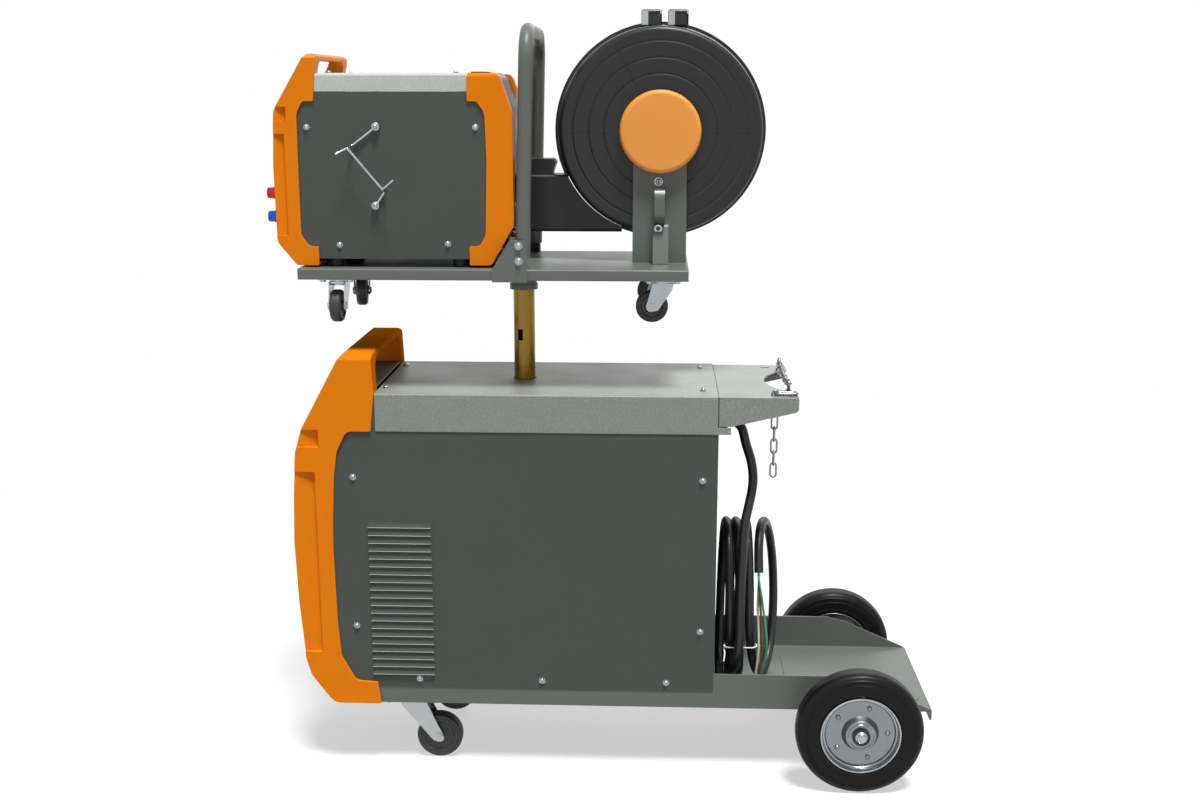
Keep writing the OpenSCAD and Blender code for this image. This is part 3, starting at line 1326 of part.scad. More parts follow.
roll_r = roll_d / 2;
roll_x = (feeder_x0 + feeder_x1) / 2 - 10;
motor_neck_r = 12;
arm_x = roll_x - 34;
arm_z = duct_mid + 16;
module drive_unit() {
  color("#9ea2a4") {
    difference() {
      along_y(8, 16) polygon(rounded(
        box_pts(roll_x - 62, roll_x + 62, duct_mid - 62, duct_mid + 40), 6
      ));
      rod_y(roll_x, duct_mid - roll_r, 4.9 + run_fit, 10, 20, 32);
    }
    // Feet on the partition
    for (i = [-1, 1], z = [duct_mid - 52, duct_mid + 30]) rod_y(roll_x + i * 52, z, 5, -4, 9, 24);
    // Inlet and outlet guides, split by the rolls
    for (x = [[roll_x - 60, roll_x - 17], [roll_x + 17, roll_x + 60]]) difference() {
      along_x(x[0], x[1]) polygon(box_pts(15.5, spool_y + 6, duct_mid - 6, duct_mid + 6));
      rod_x(spool_y, duct_mid, 1.5, x[0] - 1, x[1] + 1, 24);
    }
    // Pivot pin of the pressure arm
    rod_y(arm_x, arm_z, 4, 15, spool_y + 14, 32);
  }
  // Motor and gearbox
  color("#1f2021") {
    rod_y(roll_x, duct_mid - roll_r, 30, -90, -6.2);
    rod_y(roll_x, duct_mid - roll_r, motor_neck_r, -6.3, 8.5);
  }
}
module drive_roll() {
  color("#b08d3a") difference() {
    union() {
      rod_y(roll_x, duct_mid - roll_r, roll_r - 0.6, 20, spool_y + 6);
      rod_y(roll_x, duct_mid - roll_r, 4.9, 12 + gap, spool_y + 16);
      rod_y(roll_x, duct_mid - roll_r, 10, spool_y + 8, spool_y + 14, 6);
    }
    // Wire groove
    translate([roll_x, spool_y, duct_mid - roll_r]) rotate([90, 0, 0])
      rotate_extrude($fn = 48) translate([roll_r, 0]) circle(r = 1.4, $fn = 16);
  }
}
module pressure_arm() {
  color("#2b2d2c") {
    difference() {
      along_y(20, 30) polygon(rounded([
        [arm_x - 8, arm_z - 6], [arm_x + 10, arm_z - 4], [roll_x + 12, duct_mid + 8],
        [roll_x + 44, duct_mid + 26], [roll_x + 44, duct_mid + 38], [arm_x - 2, duct_mid + 38],
        [arm_x - 8, arm_z + 8]
      ], [4, 4, 6, 3, 3, 10, 4]));
      rod_y(arm_x, arm_z, 4 + run_fit, 19, spool_y + 9, 32);
    }
    // Head that the tension screw goes through
    along_y(29, spool_y + 8) polygon(rounded(
      box_pts(roll_x + 22, roll_x + 44, duct_mid + 26, duct_mid + 38), 3
    ));
    rod_y(roll_x, duct_mid + roll_r, 4, 29, spool_y + 8, 32);
  }
  // Pressure roll on its pin
  color("#b08d3a") difference() {
    rod_y(roll_x, duct_mid + roll_r, roll_r - 0.9, spool_y - 5, spool_y + 6);
    rod_y(roll_x, duct_mid + roll_r, 4 + run_fit, spool_y - 6, spool_y + 7, 32);
  }
  // Tension screw with its grip
  color("#e98a1e") {
    rod_z(roll_x + 34, spool_y, 3, duct_mid + 37, duct_mid + 52, 24);
    rod_z(roll_x + 34, spool_y, 9, duct_mid + 51, duct_mid + 78, 32);
  }
}

// ---- Mains cable ----

gland_out = rear_panel_x + 22;
hank_x = rear_panel_x + 12;
hank_y = -75;
hank_pitch = cable_d + 0.8;
hank_low = tray_top + gap + cable_d / 2;
hank_mid = hank_low + hank_h / 2;
hank_start = 258;
core_r = 2;
// The lead comes down over the near side of the loops
lead_x = hank_x + 2 * hank_pitch;
lead_y = hank_y - hank_pitch - 1;
// Free lead between the strain relief and the hank, chosen by hand
lead_pts = [
  [gland_out + 10, gland_y, gland_z], [217, -29, 550], [224, -36, 525], [232, -46, 500],
  [235, -56, 476], [233, -66, 456], [228, -76, 435], [223, -85, 414], [220, -90, 388],
  [219, lead_y, 350], [218, lead_y, 315], [lead_x, lead_y, 282]
];
lead_path = concat(
  [[gland_out, gland_y, gland_z]], smooth(lead_pts, 2), [[lead_x, lead_y, hank_start]]
);
// Point of the hank at turn t: down the near side, round and up the far side; the last turn hangs out
function hank_point(t) = let (a = 360 * t, late = max(0, t - (loop_n - 1)))
  [
    hank_x + hank_pitch * t + 44 * pow(sin(180 * min(1, late / 0.9)), 2),
    hank_y * cos(a),
    hank_mid - hank_h / 2 * sin(a)
  ];
// The lead turns in below the loops and becomes the first of them, chosen by hand
turn_in_pts = [
  [lead_x, lead_y, hank_start - cable_d], [lead_x, lead_y, 215], [215, -91, 188], [208, -84, 158],
  [198, -67, 134], [189.4, -42, 124.8], hank_point(5.5 / 24)
];
hank_pts = concat(
  [[lead_x, lead_y, hank_start]], smooth(turn_in_pts, 2),
  [for (i = [6 : round((loop_n - 0.12) * 24)]) hank_point((i + 0.5) / 24)]
);
hank_last = hank_pts[len(hank_pts) - 1];
hank_dir = unit(hank_last - hank_pts[len(hank_pts) - 2]);
hank_path = concat(hank_pts, [hank_last + hank_dir * cable_d]);
hank_end = hank_path[len(hank_path) - 1];

function along(path, i) =
  unit(path[min(i + 1, len(path) - 1)] - path[max(i - 1, 0)]);
// Side vectors carried along a path without twist
function sides(path, i, v) = let (t = along(path, i)) unit(v - t * (v * t));
function frames(path, v0) = [
  for (i = 0, v = sides(path, 0, v0); i < len(path); i = i + 1,
    v = i < len(path) ? sides(path, i, v) : v) v
];
// Closed tube of radius r swept along a path, with n sides
module tube(path, r, n, v0 = [1, 0, 0]) {
  f = frames(path, v0);
  last = len(path) - 1;
  pts = [
    for (i = [0 : last]) let (t = along(path, i), u = f[i], w = cross(t, u))
      each [for (k = [0 : n - 1]) path[i] + r * (u * cos(360 * k / n) + w * sin(360 * k / n))]
  ];
  faces = concat(
    [[for (k = [n - 1 : -1 : 0]) n - 1 - k]],
    [for (i = [0 : last - 1], k = [0 : n - 1]) each [
      [i * n + k, (i + 1) * n + k, i * n + (k + 1) % n],
      [i * n + (k + 1) % n, (i + 1) * n + k, (i + 1) * n + (k + 1) % n]
    ]],
    [[for (k = [n - 1 : -1 : 0]) last * n + k]]
  );
  polyhedron(points = pts, faces = faces, convexity = 8);
}
// Smooth curve through hand-chosen points, m steps from each to the next
function smooth(p, m) = [
  for (i = [0 : len(p) - 2], k = [0 : m - 1])
    let (
      a = p[max(i - 1, 0)], b = p[i], c = p[i + 1], d = p[min(i + 2, len(p) - 1)], t = k / m
    ) 0.5 * ((2 * b) + (c - a) * t + (2 * a - 5 * b + 4 * c - d) * t * t
      + (3 * b - a - 3 * c + d) * t * t * t),
  p[len(p) - 1]
];
function gap_to_self(path, skip) = min([
  for (i = [0 : len(path) - 1], j = [i + skip : 1 : len(path) - 1]) norm(path[i] - path[j])
]) - cable_d;
echo(hank_gap = gap_to_self(hank_path, 8));

module cable_gland() {
  color("#1c1d1c") difference() {
    union() {
      rod_x(gland_y, gland_z, 12.9, rear_panel_x - 10, rear_panel_x + 4);
      rod_x(gland_y, gland_z, 17, rear_panel_x + sheet_t, rear_panel_x + 10, 6);
      translate([rear_panel_x + 10, gland_y, gland_z]) rotate([0, 90, 0])
        cylinder(r1 = 14, r2 = 9, h = gland_out - rear_panel_x - 10, $fn = 48);
    }
  }
}
module mains_lead() {
  color("#1b1c1d") tube(lead_path, cable_d / 2, 8, [0, 1, 0]);
}
module mains_hank() {
  color("#1b1c1d") tube(hank_path, cable_d / 2, 6);
}
// Bare cores that hang out of the end of the jacket
module cable_cores() {
  d = hank_dir;
  across = unit(cross(d, [1, 0, 0])) * 4.6;
  low = tray_top + core_r + 1;
  colours = ["#e8e4da", "#7a4a2c", "#2f9a6a"];
  for (i = [0 : 2]) {
    e = hank_end + across * (i - 1) + d * seat;
    color(colours[i]) tube(concat([e], smooth([
      e + d * 6, e + d * 16, [e[0] + 4 * i, e[1] - 1, e[2] - 60], [e[0] + 3 + 6 * i, e[1] - 3, e[2] - 125],
      [e[0] - 1 + 4 * i, e[1], low + 20], [e[0] + 4 * i - 2, e[1], low]
    ], 3)), core_r, 8, [0, 1, 0]);
  }
}

base_tray();
side_panel_right();
side_panel_left();
top_cover();
bottle_rack();
rear_panel();
front_panel();
front_bezel();
column_socket();
power_module();
fan_rotor();
mains_switch();
chain_span();
chain_tail();
axle();
rear_rim_right();
rear_rim_left();
rear_tyre_right();
rear_tyre_left();
caster_plates();
caster_fork_right();
caster_fork_left();
caster_wheel_right();
caster_wheel_left();
body_screws();
column();
trolley_deck();
loop_handle();
small_fork_front_right();
small_fork_front_left();
small_fork_rear_right();
small_fork_rear_left();
small_wheel_front_right();
small_wheel_front_left();
small_wheel_rear_right();
small_wheel_rear_left();
spool_post();
wire_spool();
spool_cover_right();
spool_cover_left();
hub_cap();
spool_latches();
wire_duct();
feeder_body();
feeder_top_cover();
feeder_door();
feeder_front_bezel();
feeder_rear_bezel();
feeder_rear_cover();
feeder_front_panel();
feeder_knob();
couplers();
torch_hangers();
drive_unit();
drive_roll();
pressure_arm();
cable_gland();
mains_lead();
mains_hank();
cable_cores();
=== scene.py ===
"""A semi-automatic welder on a wheeled cart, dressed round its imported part.

The part's own frame holds throughout: X runs from the front bezel to the bottle shelf, -Y is the side
with the hub cap, and Z is up from the floor. Places and sizes in the code are in millimetres unless
they say otherwise, and are turned to metres where a mesh, a curve or a node is made.
"""

import json
import math
from functools import partial

import bmesh
import bpy
from mathutils import Matrix, Vector

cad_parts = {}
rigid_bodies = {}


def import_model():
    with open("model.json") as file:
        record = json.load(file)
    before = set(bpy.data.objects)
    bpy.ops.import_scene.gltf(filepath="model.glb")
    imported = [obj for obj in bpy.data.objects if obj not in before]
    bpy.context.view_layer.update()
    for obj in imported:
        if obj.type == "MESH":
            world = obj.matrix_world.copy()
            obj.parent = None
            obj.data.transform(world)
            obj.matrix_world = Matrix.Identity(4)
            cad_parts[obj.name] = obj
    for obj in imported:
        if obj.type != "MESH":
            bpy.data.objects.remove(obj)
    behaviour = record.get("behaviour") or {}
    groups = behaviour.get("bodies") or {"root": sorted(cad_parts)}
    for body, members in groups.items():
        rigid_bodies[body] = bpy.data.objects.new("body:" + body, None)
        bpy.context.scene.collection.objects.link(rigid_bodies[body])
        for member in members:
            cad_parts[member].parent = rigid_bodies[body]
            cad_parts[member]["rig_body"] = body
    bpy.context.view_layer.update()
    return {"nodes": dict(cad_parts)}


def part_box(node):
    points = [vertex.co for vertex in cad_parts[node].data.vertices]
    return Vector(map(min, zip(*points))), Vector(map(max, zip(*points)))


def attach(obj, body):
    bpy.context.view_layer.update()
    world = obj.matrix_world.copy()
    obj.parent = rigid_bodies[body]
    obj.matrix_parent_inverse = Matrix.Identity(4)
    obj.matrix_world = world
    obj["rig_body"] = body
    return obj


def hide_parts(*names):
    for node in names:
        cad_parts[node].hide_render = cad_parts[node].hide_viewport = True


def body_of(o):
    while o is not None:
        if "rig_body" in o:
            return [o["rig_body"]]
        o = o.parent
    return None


bl_info = {
    "name": "Welder on a cart",
    "version": (1, 0, 0),
    "blender": (4, 5, 0),
    "location": "View3D > Sidebar > Welder",
    "description": "Builds the finished surfaces of a welder, its wire feeder trolley and its cart",
    "category": "Object",
}

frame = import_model()
NODES = frame["nodes"]
MM = 0.001


# ---- Colours and finishes ----


def linear(code):
    """The linear colour that a shader takes, from an sRGB hex value."""
    part = [int(code[i : i + 2], 16) / 255 for i in (1, 3, 5)]
    return [c / 12.92 if c <= 0.04045 else ((c + 0.055) / 1.055) ** 2.4 for c in part] + [1.0]


def shade(colour, factor):
    """A linear colour made lighter or darker."""
    return [min(1.0, c * factor) for c in colour[:3]] + [1.0]


def fresh_tree(owner):
    """The emptied node tree of a material or a world."""
    owner.use_nodes = True
    owner.node_tree.nodes.clear()
    return owner.node_tree


def add(tree, kind, inputs=(), **settings):
    """Adds a shader node with its settings; inputs gives a value or a socket for each of its sockets.

    A socket goes by its name, or by its number where names repeat: 0, 6 and 7 are a colour Mix's factor
    and colours, 0 to 4 are Map Range's value, the range it comes from and the range it goes to.
    """
    made = tree.nodes.new("ShaderNode" + kind)
    for name, value in settings.items():
        setattr(made, name, value)
    for socket, value in dict(inputs).items():
        if isinstance(value, bpy.types.NodeSocket):
            tree.links.new(value, made.inputs[socket])
        else:
            made.inputs[socket].default_value = value
    return made


def surface(name, colour, rough, cloud=60, cloud_by=0.05, grain=1.2, depth=0.03, metallic=0.0,
            stretch=(1, 1, 1), rough_by=0.06, coat=0.0, ior=1.5, shine=0.5, speck=None, fade=1.0):
    """A finish whose tone and roughness drift over `cloud` mm, with a grain of `grain` mm, `depth` mm deep.

    colour is a hex value or the name of one of the user's colours, made darker by fade. shine is the
    specular level, and speck mixes a second colour into the grain.
    """
    found = bpy.data.materials.get(name)
    if found:
        return found
    base = linear(colour) if colour[0] == "#" else getattr(bpy.context.scene.welder_colours, colour)
    base = shade(base, fade)
    made = bpy.data.materials.new(name)
    tree = fresh_tree(made)
    place = add(tree, "TexCoord").outputs["Object"]
    laid = add(tree, "Mapping", {"Vector": place, "Scale": stretch}).outputs["Vector"]
    wide, fine = 1 / (cloud * MM), 1 / (grain * MM)
    clouds = add(tree, "TexNoise", {"Vector": place, "Scale": wide, "Detail": 4.0, "Roughness": 0.6})
    grains = add(tree, "TexNoise", {"Vector": laid, "Scale": fine, "Detail": 3.0, "Roughness": 0.65})
    tone = add(
        tree, "Mix", {0: clouds.outputs[0], 6: shade(base, 1 - cloud_by), 7: shade(base, 1 + cloud_by)},
        data_type="RGBA",
    ).outputs[2]
    if speck:
        fleck, most = speck
        spots = add(tree, "MapRange", {0: grains.outputs[0], 1: 0.5, 2: 0.68, 3: 0.0, 4: most}).outputs[0]
        tone = add(tree, "Mix", {0: spots, 6: tone, 7: linear(fleck)}, data_type="RGBA").outputs[2]
    smooth, matt = max(0.03, rough - rough_by), rough + rough_by
    worn = add(tree, "MapRange", {0: clouds.outputs[0], 1: 0.3, 2: 0.7, 3: smooth, 4: matt}).outputs[0]
    bump = add(tree, "Bump", {"Height": grains.outputs[0], "Distance": depth * MM, "Strength": 1.0})
    shader = add(tree, "BsdfPrincipled", {
        "Base Color": tone, "Roughness": worn, "Normal": bump.outputs["Normal"], "Metallic": metallic,
        "Coat Weight": coat, "Coat Roughness": 0.12, "IOR": ior, "Specular IOR Level": shine,
    })
    add(tree, "OutputMaterial", {0: shader.outputs[0]})
    return made


# A recipe holds what surface is given; a call of it makes the finish, or finds it once it is made
recipe = partial(partial, surface)
metal = partial(recipe, metallic=1.0)

# Powder coat baked on sheet steel: satin, with the faint waves of the powder's flow
graphite_powder_coat = recipe("graphite powder coat", "graphite", 0.46, cloud=160, cloud_by=0.035, grain=1.6,
                              depth=0.02, shine=0.2)
# The same coat in near white: a painted highlight on the louvre lips' upper faces, where the light from
# above falls
lip_highlight_powder_coat = recipe("powder coat with painted lip highlight", "#eef0ec", 0.3, cloud=50, cloud_by=0.1, grain=1.6,
                            depth=0.01)
# Hammer finish enamel: pale grey, its fine cells catch the light as small sparks
hammer_enamel = recipe("hammer finish enamel", "hammer", 0.40, cloud=100, grain=2.2, depth=0.22,
                       speck=("#a9afa8", 0.45), rough_by=0.08)
# The same enamel on the small case, which is a shade lighter and coarser
pale_hammer_enamel = recipe("pale hammer finish enamel", "pale_hammer", 0.42, cloud=80, grain=2.6,
                            depth=0.24, speck=("#d2d6d0", 0.5), rough_by=0.08)
# Satin enamel on folded plate and bent tube: smooth, with patches scuffed duller
deck_enamel = recipe("satin grey enamel", "deck", 0.38, cloud=120, grain=1.8, shine=0.4)
# Injection moulded ABS in orange: a soft gloss with the tool's fine spark texture
orange_abs = recipe("moulded orange abs", "orange", 0.34, cloud=200, cloud_by=0.04, grain=0.9, depth=0.012,
                    ior=1.53, shine=0.05, rough_by=0.05)
# The same plastic on the handle's top and rear faces, matt and painted a shade darker: painted shade
matt_shaded_abs = recipe("matt orange abs with painted shade", "orange", 0.6, cloud=80, cloud_by=0.07, grain=0.9, depth=0.012,
                  shine=0.0, fade=0.86)
# Moulded polypropylene of the hub cap: the same orange, paler and more matt
orange_polypropylene = recipe("moulded orange polypropylene", "cap", 0.44, cloud=90, cloud_by=0.04,
                              grain=1.1, depth=0.02, ior=1.49, shine=0.4)
# Blow moulded polyethylene: black with a waxy shine and slow waves from the cooling
black_polyethylene = recipe("black polyethylene", "#222324", 0.34, cloud=50, cloud_by=0.12, grain=12,
                            depth=0.12, ior=1.51, shine=0.3, rough_by=0.07)
# ABS moulded in a sparked tool, for panels and sockets: black, with an even sandy texture
black_abs = recipe("textured black abs", "#242625", 0.5, cloud=70, cloud_by=0.08, grain=1.1, depth=0.06)
# Bright zinc plating: bluish white metal, with cloudy patches from the bath
bright_zinc = metal("bright zinc plating", "#a7abae", 0.24, cloud=20, cloud_by=0.10, grain=0.8, depth=0.01,
                    rough_by=0.10)
# Drawn and zinc plated steel wire of the chain: its zinc has gone grey
chain_steel = metal("greyed zinc on drawn wire", "#84888b", 0.3, cloud=10, cloud_by=0.12, grain=0.8,
                    depth=0.01, rough_by=0.1)
# Yellow passivated zinc on a drawn tube: brass coloured, streaked along its length
yellow_passivated_zinc = metal("yellow passivated zinc", "#846a2c", 0.28, cloud=35, cloud_by=0.22,
                               depth=0.01, stretch=(1, 1, 0.06), rough_by=0.12)
# Blackened and oiled steel of the collars and latches: dark, with soft highlights
oiled_steel = metal("oiled black steel", "#3a3b3c", 0.3, cloud=10, cloud_by=0.15, grain=0.8, depth=0.02)
# Pressed and zinc plated wheel disc: clouded by the drawing of the sheet, duller than the screws
pressed_zinc = metal("pressed zinc plated steel", "#84888b", 0.31, cloud=30, cloud_by=0.14, depth=0.02,
                     rough_by=0.12)
# Solid rubber tyre: near black, satin where the mould polished it, a little grey bloom
solid_rubber = recipe("solid black rubber", "#141414", 0.36, cloud=40, cloud_by=0.25, grain=1.6, depth=0.04,
                      shine=0.14, rough_by=0.12)
# Caster tread: softer and more matt than the tyres
tread_rubber = recipe("caster tread rubber", "#272727", 0.55, cloud=30, cloud_by=0.2, depth=0.04)
# Extruded rubber jacket of the mains cable: satin black with a fine grain
cable_jacket = recipe("rubber cable jacket", "#1c1d1e", 0.36, cloud=30, cloud_by=0.2, grain=1.4, shine=0.4,
                      rough_by=0.1)
# Braided white twine: matt and slightly soiled, its strands a coarse bump
white_twine = recipe("white twine", "#e4e4dc", 0.75, cloud=4, cloud_by=0.12, grain=0.8, depth=0.1)
# Turned brass: warm, with the lathe's fine lines
turned_brass = metal("turned brass", "#b98f45", 0.26, cloud=20, cloud_by=0.1, grain=0.6, depth=0.01,
                     stretch=(1, 0.1, 1))
# Die-cast alloy: dull silver with a sandy skin
cast_alloy = metal("die-cast alloy", "#a3a7aa", 0.42, cloud=20, cloud_by=0.08, grain=1.1, depth=0.05)
# Copper coated welding wire, wound in level layers: the turns show as fine bands across the barrel
copper_wire = metal("copper coated wire", "#b87342", 0.30, cloud=30, cloud_by=0.1, grain=1.6, depth=0.3,
                    stretch=(0.02, 1, 0.02))
# Glossy acrylic window of the display, dark when it is off
dark_acrylic = recipe("dark acrylic", "#0b0d10", 0.08, cloud=50, cloud_by=0.1, grain=10, depth=0.004,
                      coat=0.6, ior=1.49)


def core_pvc(name, code):
    """Extruded PVC round a bare core: smooth, in its wiring colour."""
    return surface("core pvc " + name, code, 0.35, cloud=20, cloud_by=0.06, grain=2, depth=0.01, ior=1.53)


def anodised(name, code):
    """Anodised aluminium of a quick coupler: dyed, with a metallic glow under the colour."""
    return surface("anodised " + name, code, 0.28, cloud=10, cloud_by=0.06, grain=0.7, depth=0.01,
                   metallic=0.75)


def varnish(name, code):
    """Varnish over transformer steel, a circuit board or a sleeve inside the case: smooth and half gloss."""
    return surface("varnished " + name, code, 0.4, cloud=20, cloud_by=0.1, grain=1)


# ---- Making pieces ----


def placed(name, data):
    """A new object in the scene that holds the given data."""
    made = bpy.data.objects.new(name, data)
    bpy.context.scene.collection.objects.link(made)
    return made


def as_mesh(name, bm):
    """A new mesh from a bmesh, which is freed."""
    mesh = bpy.data.meshes.new(name)
    bm.to_mesh(mesh)
    bm.free()
    return mesh


def made_whole(bm, degrees):
    """Merges the doubles of a mesh and makes its flat faces whole."""
    bmesh.ops.remove_doubles(bm, verts=bm.verts, dist=0.02 * MM)
    bmesh.ops.dissolve_limit(bm, angle_limit=math.radians(degrees), verts=bm.verts, edges=bm.edges)
    return bm


def unique(items):
    """Each item once and in order, so that every run makes the same mesh."""
    return list(dict.fromkeys(items))


def islands(bm):
    """The connected parts of a mesh, each as a list of vertices."""
    left, found = dict.fromkeys(bm.verts), []
    while left:
        todo, part = [left.popitem()[0]], []
        while todo:
            part.append(todo.pop())
            for e in part[-1].link_edges:
                o = e.other_vert(part[-1])
                if o in left:
                    del left[o]
                    todo.append(o)
        found.append(part)
    return found


def bevelled(bm, edges, width, segments=2):
    bmesh.ops.bevel(
        bm, geom=edges, offset=width, offset_type="OFFSET", segments=segments, profile=0.5, affect="EDGES",
        clamp_overlap=True, material=-1,
    )


def soften(bm, width, segments):
    """Rounds the sharp edges of each connected part to a width that its shortest sharp edges allow."""
    sharp, least = math.radians(32), 0.04 * MM
    for part in islands(bm):
        edges = [
            e for e in unique(e for v in part for e in v.link_edges)
            if len(e.link_faces) == 2 and e.calc_face_angle(0) > sharp
        ]
        if not edges:
            continue
        lengths = sorted(e.calc_length() for e in edges)
        fit = min(width, 0.45 * lengths[len(lengths) // 20])
        if fit > least:
            bevelled(bm, edges, fit, segments)


def finished(name, bm, finishes, node="", body="", smooth=40):
    """Makes a mesh into an object at the origin.

    It stands for a node and takes that node's body, or it is given a body.
    """
    mesh = as_mesh(name, bm)
    for f in finishes:
        mesh.materials.append(f)
    mesh.shade_smooth()
    mesh.set_sharp_from_angle(angle=math.radians(smooth))
    made = placed(name, mesh)
    fair = made.modifiers.new("fair", "WEIGHTED_NORMAL")
    fair.keep_sharp = True
    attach(made, body or body_of(NODES[node])[0])
    if node:
        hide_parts(node)
    return made


def dress(node, finish, others=(), edge=1.0, size="edge", segments=2, smooth=40, more=None):
    """Stands a copy of a CAD node in its place, its sharp edges rounded to `edge` times one of the sizes.

    others gives (finish, test) pairs, where test takes a face's centre and its normal. A pair without a
    test is for what more adds to the copy.
    """
    bm = bmesh.new()
    bm.from_mesh(NODES[node].data)
    made_whole(bm, 0.4)
    if edge:
        soften(bm, edge * getattr(sizes(), size), segments)
    for f in bm.faces:
        c = f.calc_center_median() / MM
        for i, (_, test) in enumerate(others):
            if test and test(c, f.normal):
                f.material_index = i + 1
    if more:
        more(bm)
    return finished(node + "_skin", bm, [finish] + [o[0] for o in others], node, smooth=smooth)


def turn(bm, profile, centre, axis=(0, 1, 0), steps=72, index=0, closed=True):
    """Spins a profile of (radius, along) pairs about an axis through centre."""
    axis = Vector(axis).normalized()
    side = axis.orthogonal().normalized()
    c = Vector(centre) * MM
    verts = [bm.verts.new(c + side * r * MM + axis * a * MM) for r, a in profile]
    pairs = list(zip(verts, verts[1:])) + ([(verts[-1], verts[0])] if closed else [])
    edges = [bm.edges.new(p) for p in pairs]
    before = set(bm.faces)
    bmesh.ops.spin(
        bm, geom=verts + edges, cent=c, axis=axis, angle=2 * math.pi, steps=steps, use_merge=True,
        use_duplicate=False,
    )
    near = unique(v for f in bm.faces if f not in before for v in f.verts)
    bmesh.ops.remove_doubles(bm, verts=near, dist=0.005 * MM)
    made = [f for f in bm.faces if f not in before]
    bmesh.ops.recalc_face_normals(bm, faces=made)
    for f in made:
        f.material_index = index
    return made


def stepped(radius, along, steps):
    """A profile given as steps away from one radius and one place along the axis."""
    return [(radius + a, along + b) for a, b in steps]


def both_sides(half):
    """A closed profile from the half of it that lies on one side of the middle."""
    return half + [(a, -b) for a, b in reversed(half)]


def rod(bm, start, end, radius, steps=24, index=0):
    """A round bar between two points, with a small round on each end."""
    ahead = Vector(end) - Vector(start)
    edge = min(0.5, radius * 0.2)
    profile = [(0, 0), (radius - edge, 0), (radius, edge), (radius, ahead.length - edge),
               (radius - edge, ahead.length), (0, ahead.length)]
    return turn(bm, profile, start, ahead, steps, index, closed=False)


def box(bm, low, high, index=0, bevel=0.4):
    """A block between two corners, with softened edges."""
    low, high = Vector(low) * MM, Vector(high) * MM
    made = bmesh.ops.create_cube(bm, size=1.0)["verts"]
    size = high - low
    bmesh.ops.scale(bm, vec=size, verts=made)
    bmesh.ops.translate(bm, vec=(low + high) / 2, verts=made)
    for f in unique(f for v in made for f in v.link_faces):
        f.material_index = index
    if bevel:
        bevelled(bm, unique(e for v in made for e in v.link_edges), min(bevel * MM, 0.3 * min(size)))


def screw(bm, at, axis, radius, index=0):
    """A pan head screw with its washer and a cross recess, standing on a face."""
    axis = Vector(axis).normalized()
    turn(bm, [(0, 0), (radius * 1.3, 0), (radius * 1.3, 0.9), (radius * 1.2, 1.15), (0, 1.15)],
         at, axis, 20, index, closed=False)
    foot = Vector(at) + axis * 1.1
    tall, sides = radius * 0.82, 16
    dome = ((0.92, 0), (1.04, 0.12), (1.02, 0.42), (0.86, 0.74), (0.56, 0.93), (0.42, 1))
    head = turn(bm, [(radius * a, tall * b) for a, b in dome], foot, axis, sides, index, closed=False)
    rim = [e for f in head for e in f.edges if e.is_boundary]
    below_top = (foot + axis * tall * 0.97) * MM
    top = [e for e in rim if (e.verts[0].co - below_top).dot(axis) > 0]
    face = bmesh.ops.contextual_create(bm, geom=top)["faces"]
    if face:
        bmesh.ops.inset_individual(bm, faces=face, thickness=0.08 * MM)
        deep = bmesh.ops.extrude_discrete_faces(bm, faces=face)["faces"][0]
        c = deep.calc_center_median()
        side = axis.orthogonal()
        across = axis.cross(side)
        # Two corners in four are drawn in, which leaves the arms of the cross
        for v in deep.verts:
            out = v.co - c
            corner = round(math.atan2(out.dot(across), out.dot(side)) * sides / (2 * math.pi))
            v.co = c + out * (1.0 if corner % 4 in (0, 1) else 0.42) - axis * tall * 0.4 * MM


def hexagon(bm, at, axis, radius, height, index=0, bore=0.0):
    """A hexagon nut that stands on a face, its corners chamfered."""
    profile = [(0, 0), (radius, 0), (radius, height - 0.6), (radius - 0.7, height), (bore, height)]
    if bore:
        profile += [(bore, height - 1.5), (0, height - 1.5)]
    turn(bm, profile, at, axis, 6, index, closed=False)


def smooth_path(points, steps):
    """A smooth curve through points, with `steps` spans from each to the next."""
    p = [Vector(v) for v in points]
    made = []
    for i in range(len(p) - 1):
        a, b, c, d = p[max(i - 1, 0)], p[i], p[i + 1], p[min(i + 2, len(p) - 1)]
        for k in range(steps):
            t = k / steps
            made.append(
                0.5 * (2 * b + (c - a) * t + (2 * a - 5 * b + 4 * c - d) * t * t
                       + (3 * b - a - 3 * c + d) * t ** 3)
            )
    return made + [p[-1]]


def tube(name, points, diameter, body, finish):
    """A round cable along points, as a curve object with closed ends; its diameter is in metres."""
    line = bpy.data.curves.new(name, "CURVE")
    line.dimensions = "3D"
    line.bevel_depth = diameter / 2
    line.bevel_resolution = 5
    line.use_fill_caps = True
    spline = line.splines.new("POLY")
    spline.points.add(len(points) - 1)
    for at, p in zip(spline.points, points):
        at.co = (p[0] * MM, p[1] * MM, p[2] * MM, 1)
    spline.use_smooth = True
    line.materials.append(finish)
    made = placed(name, line)
    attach(made, body)
    return made


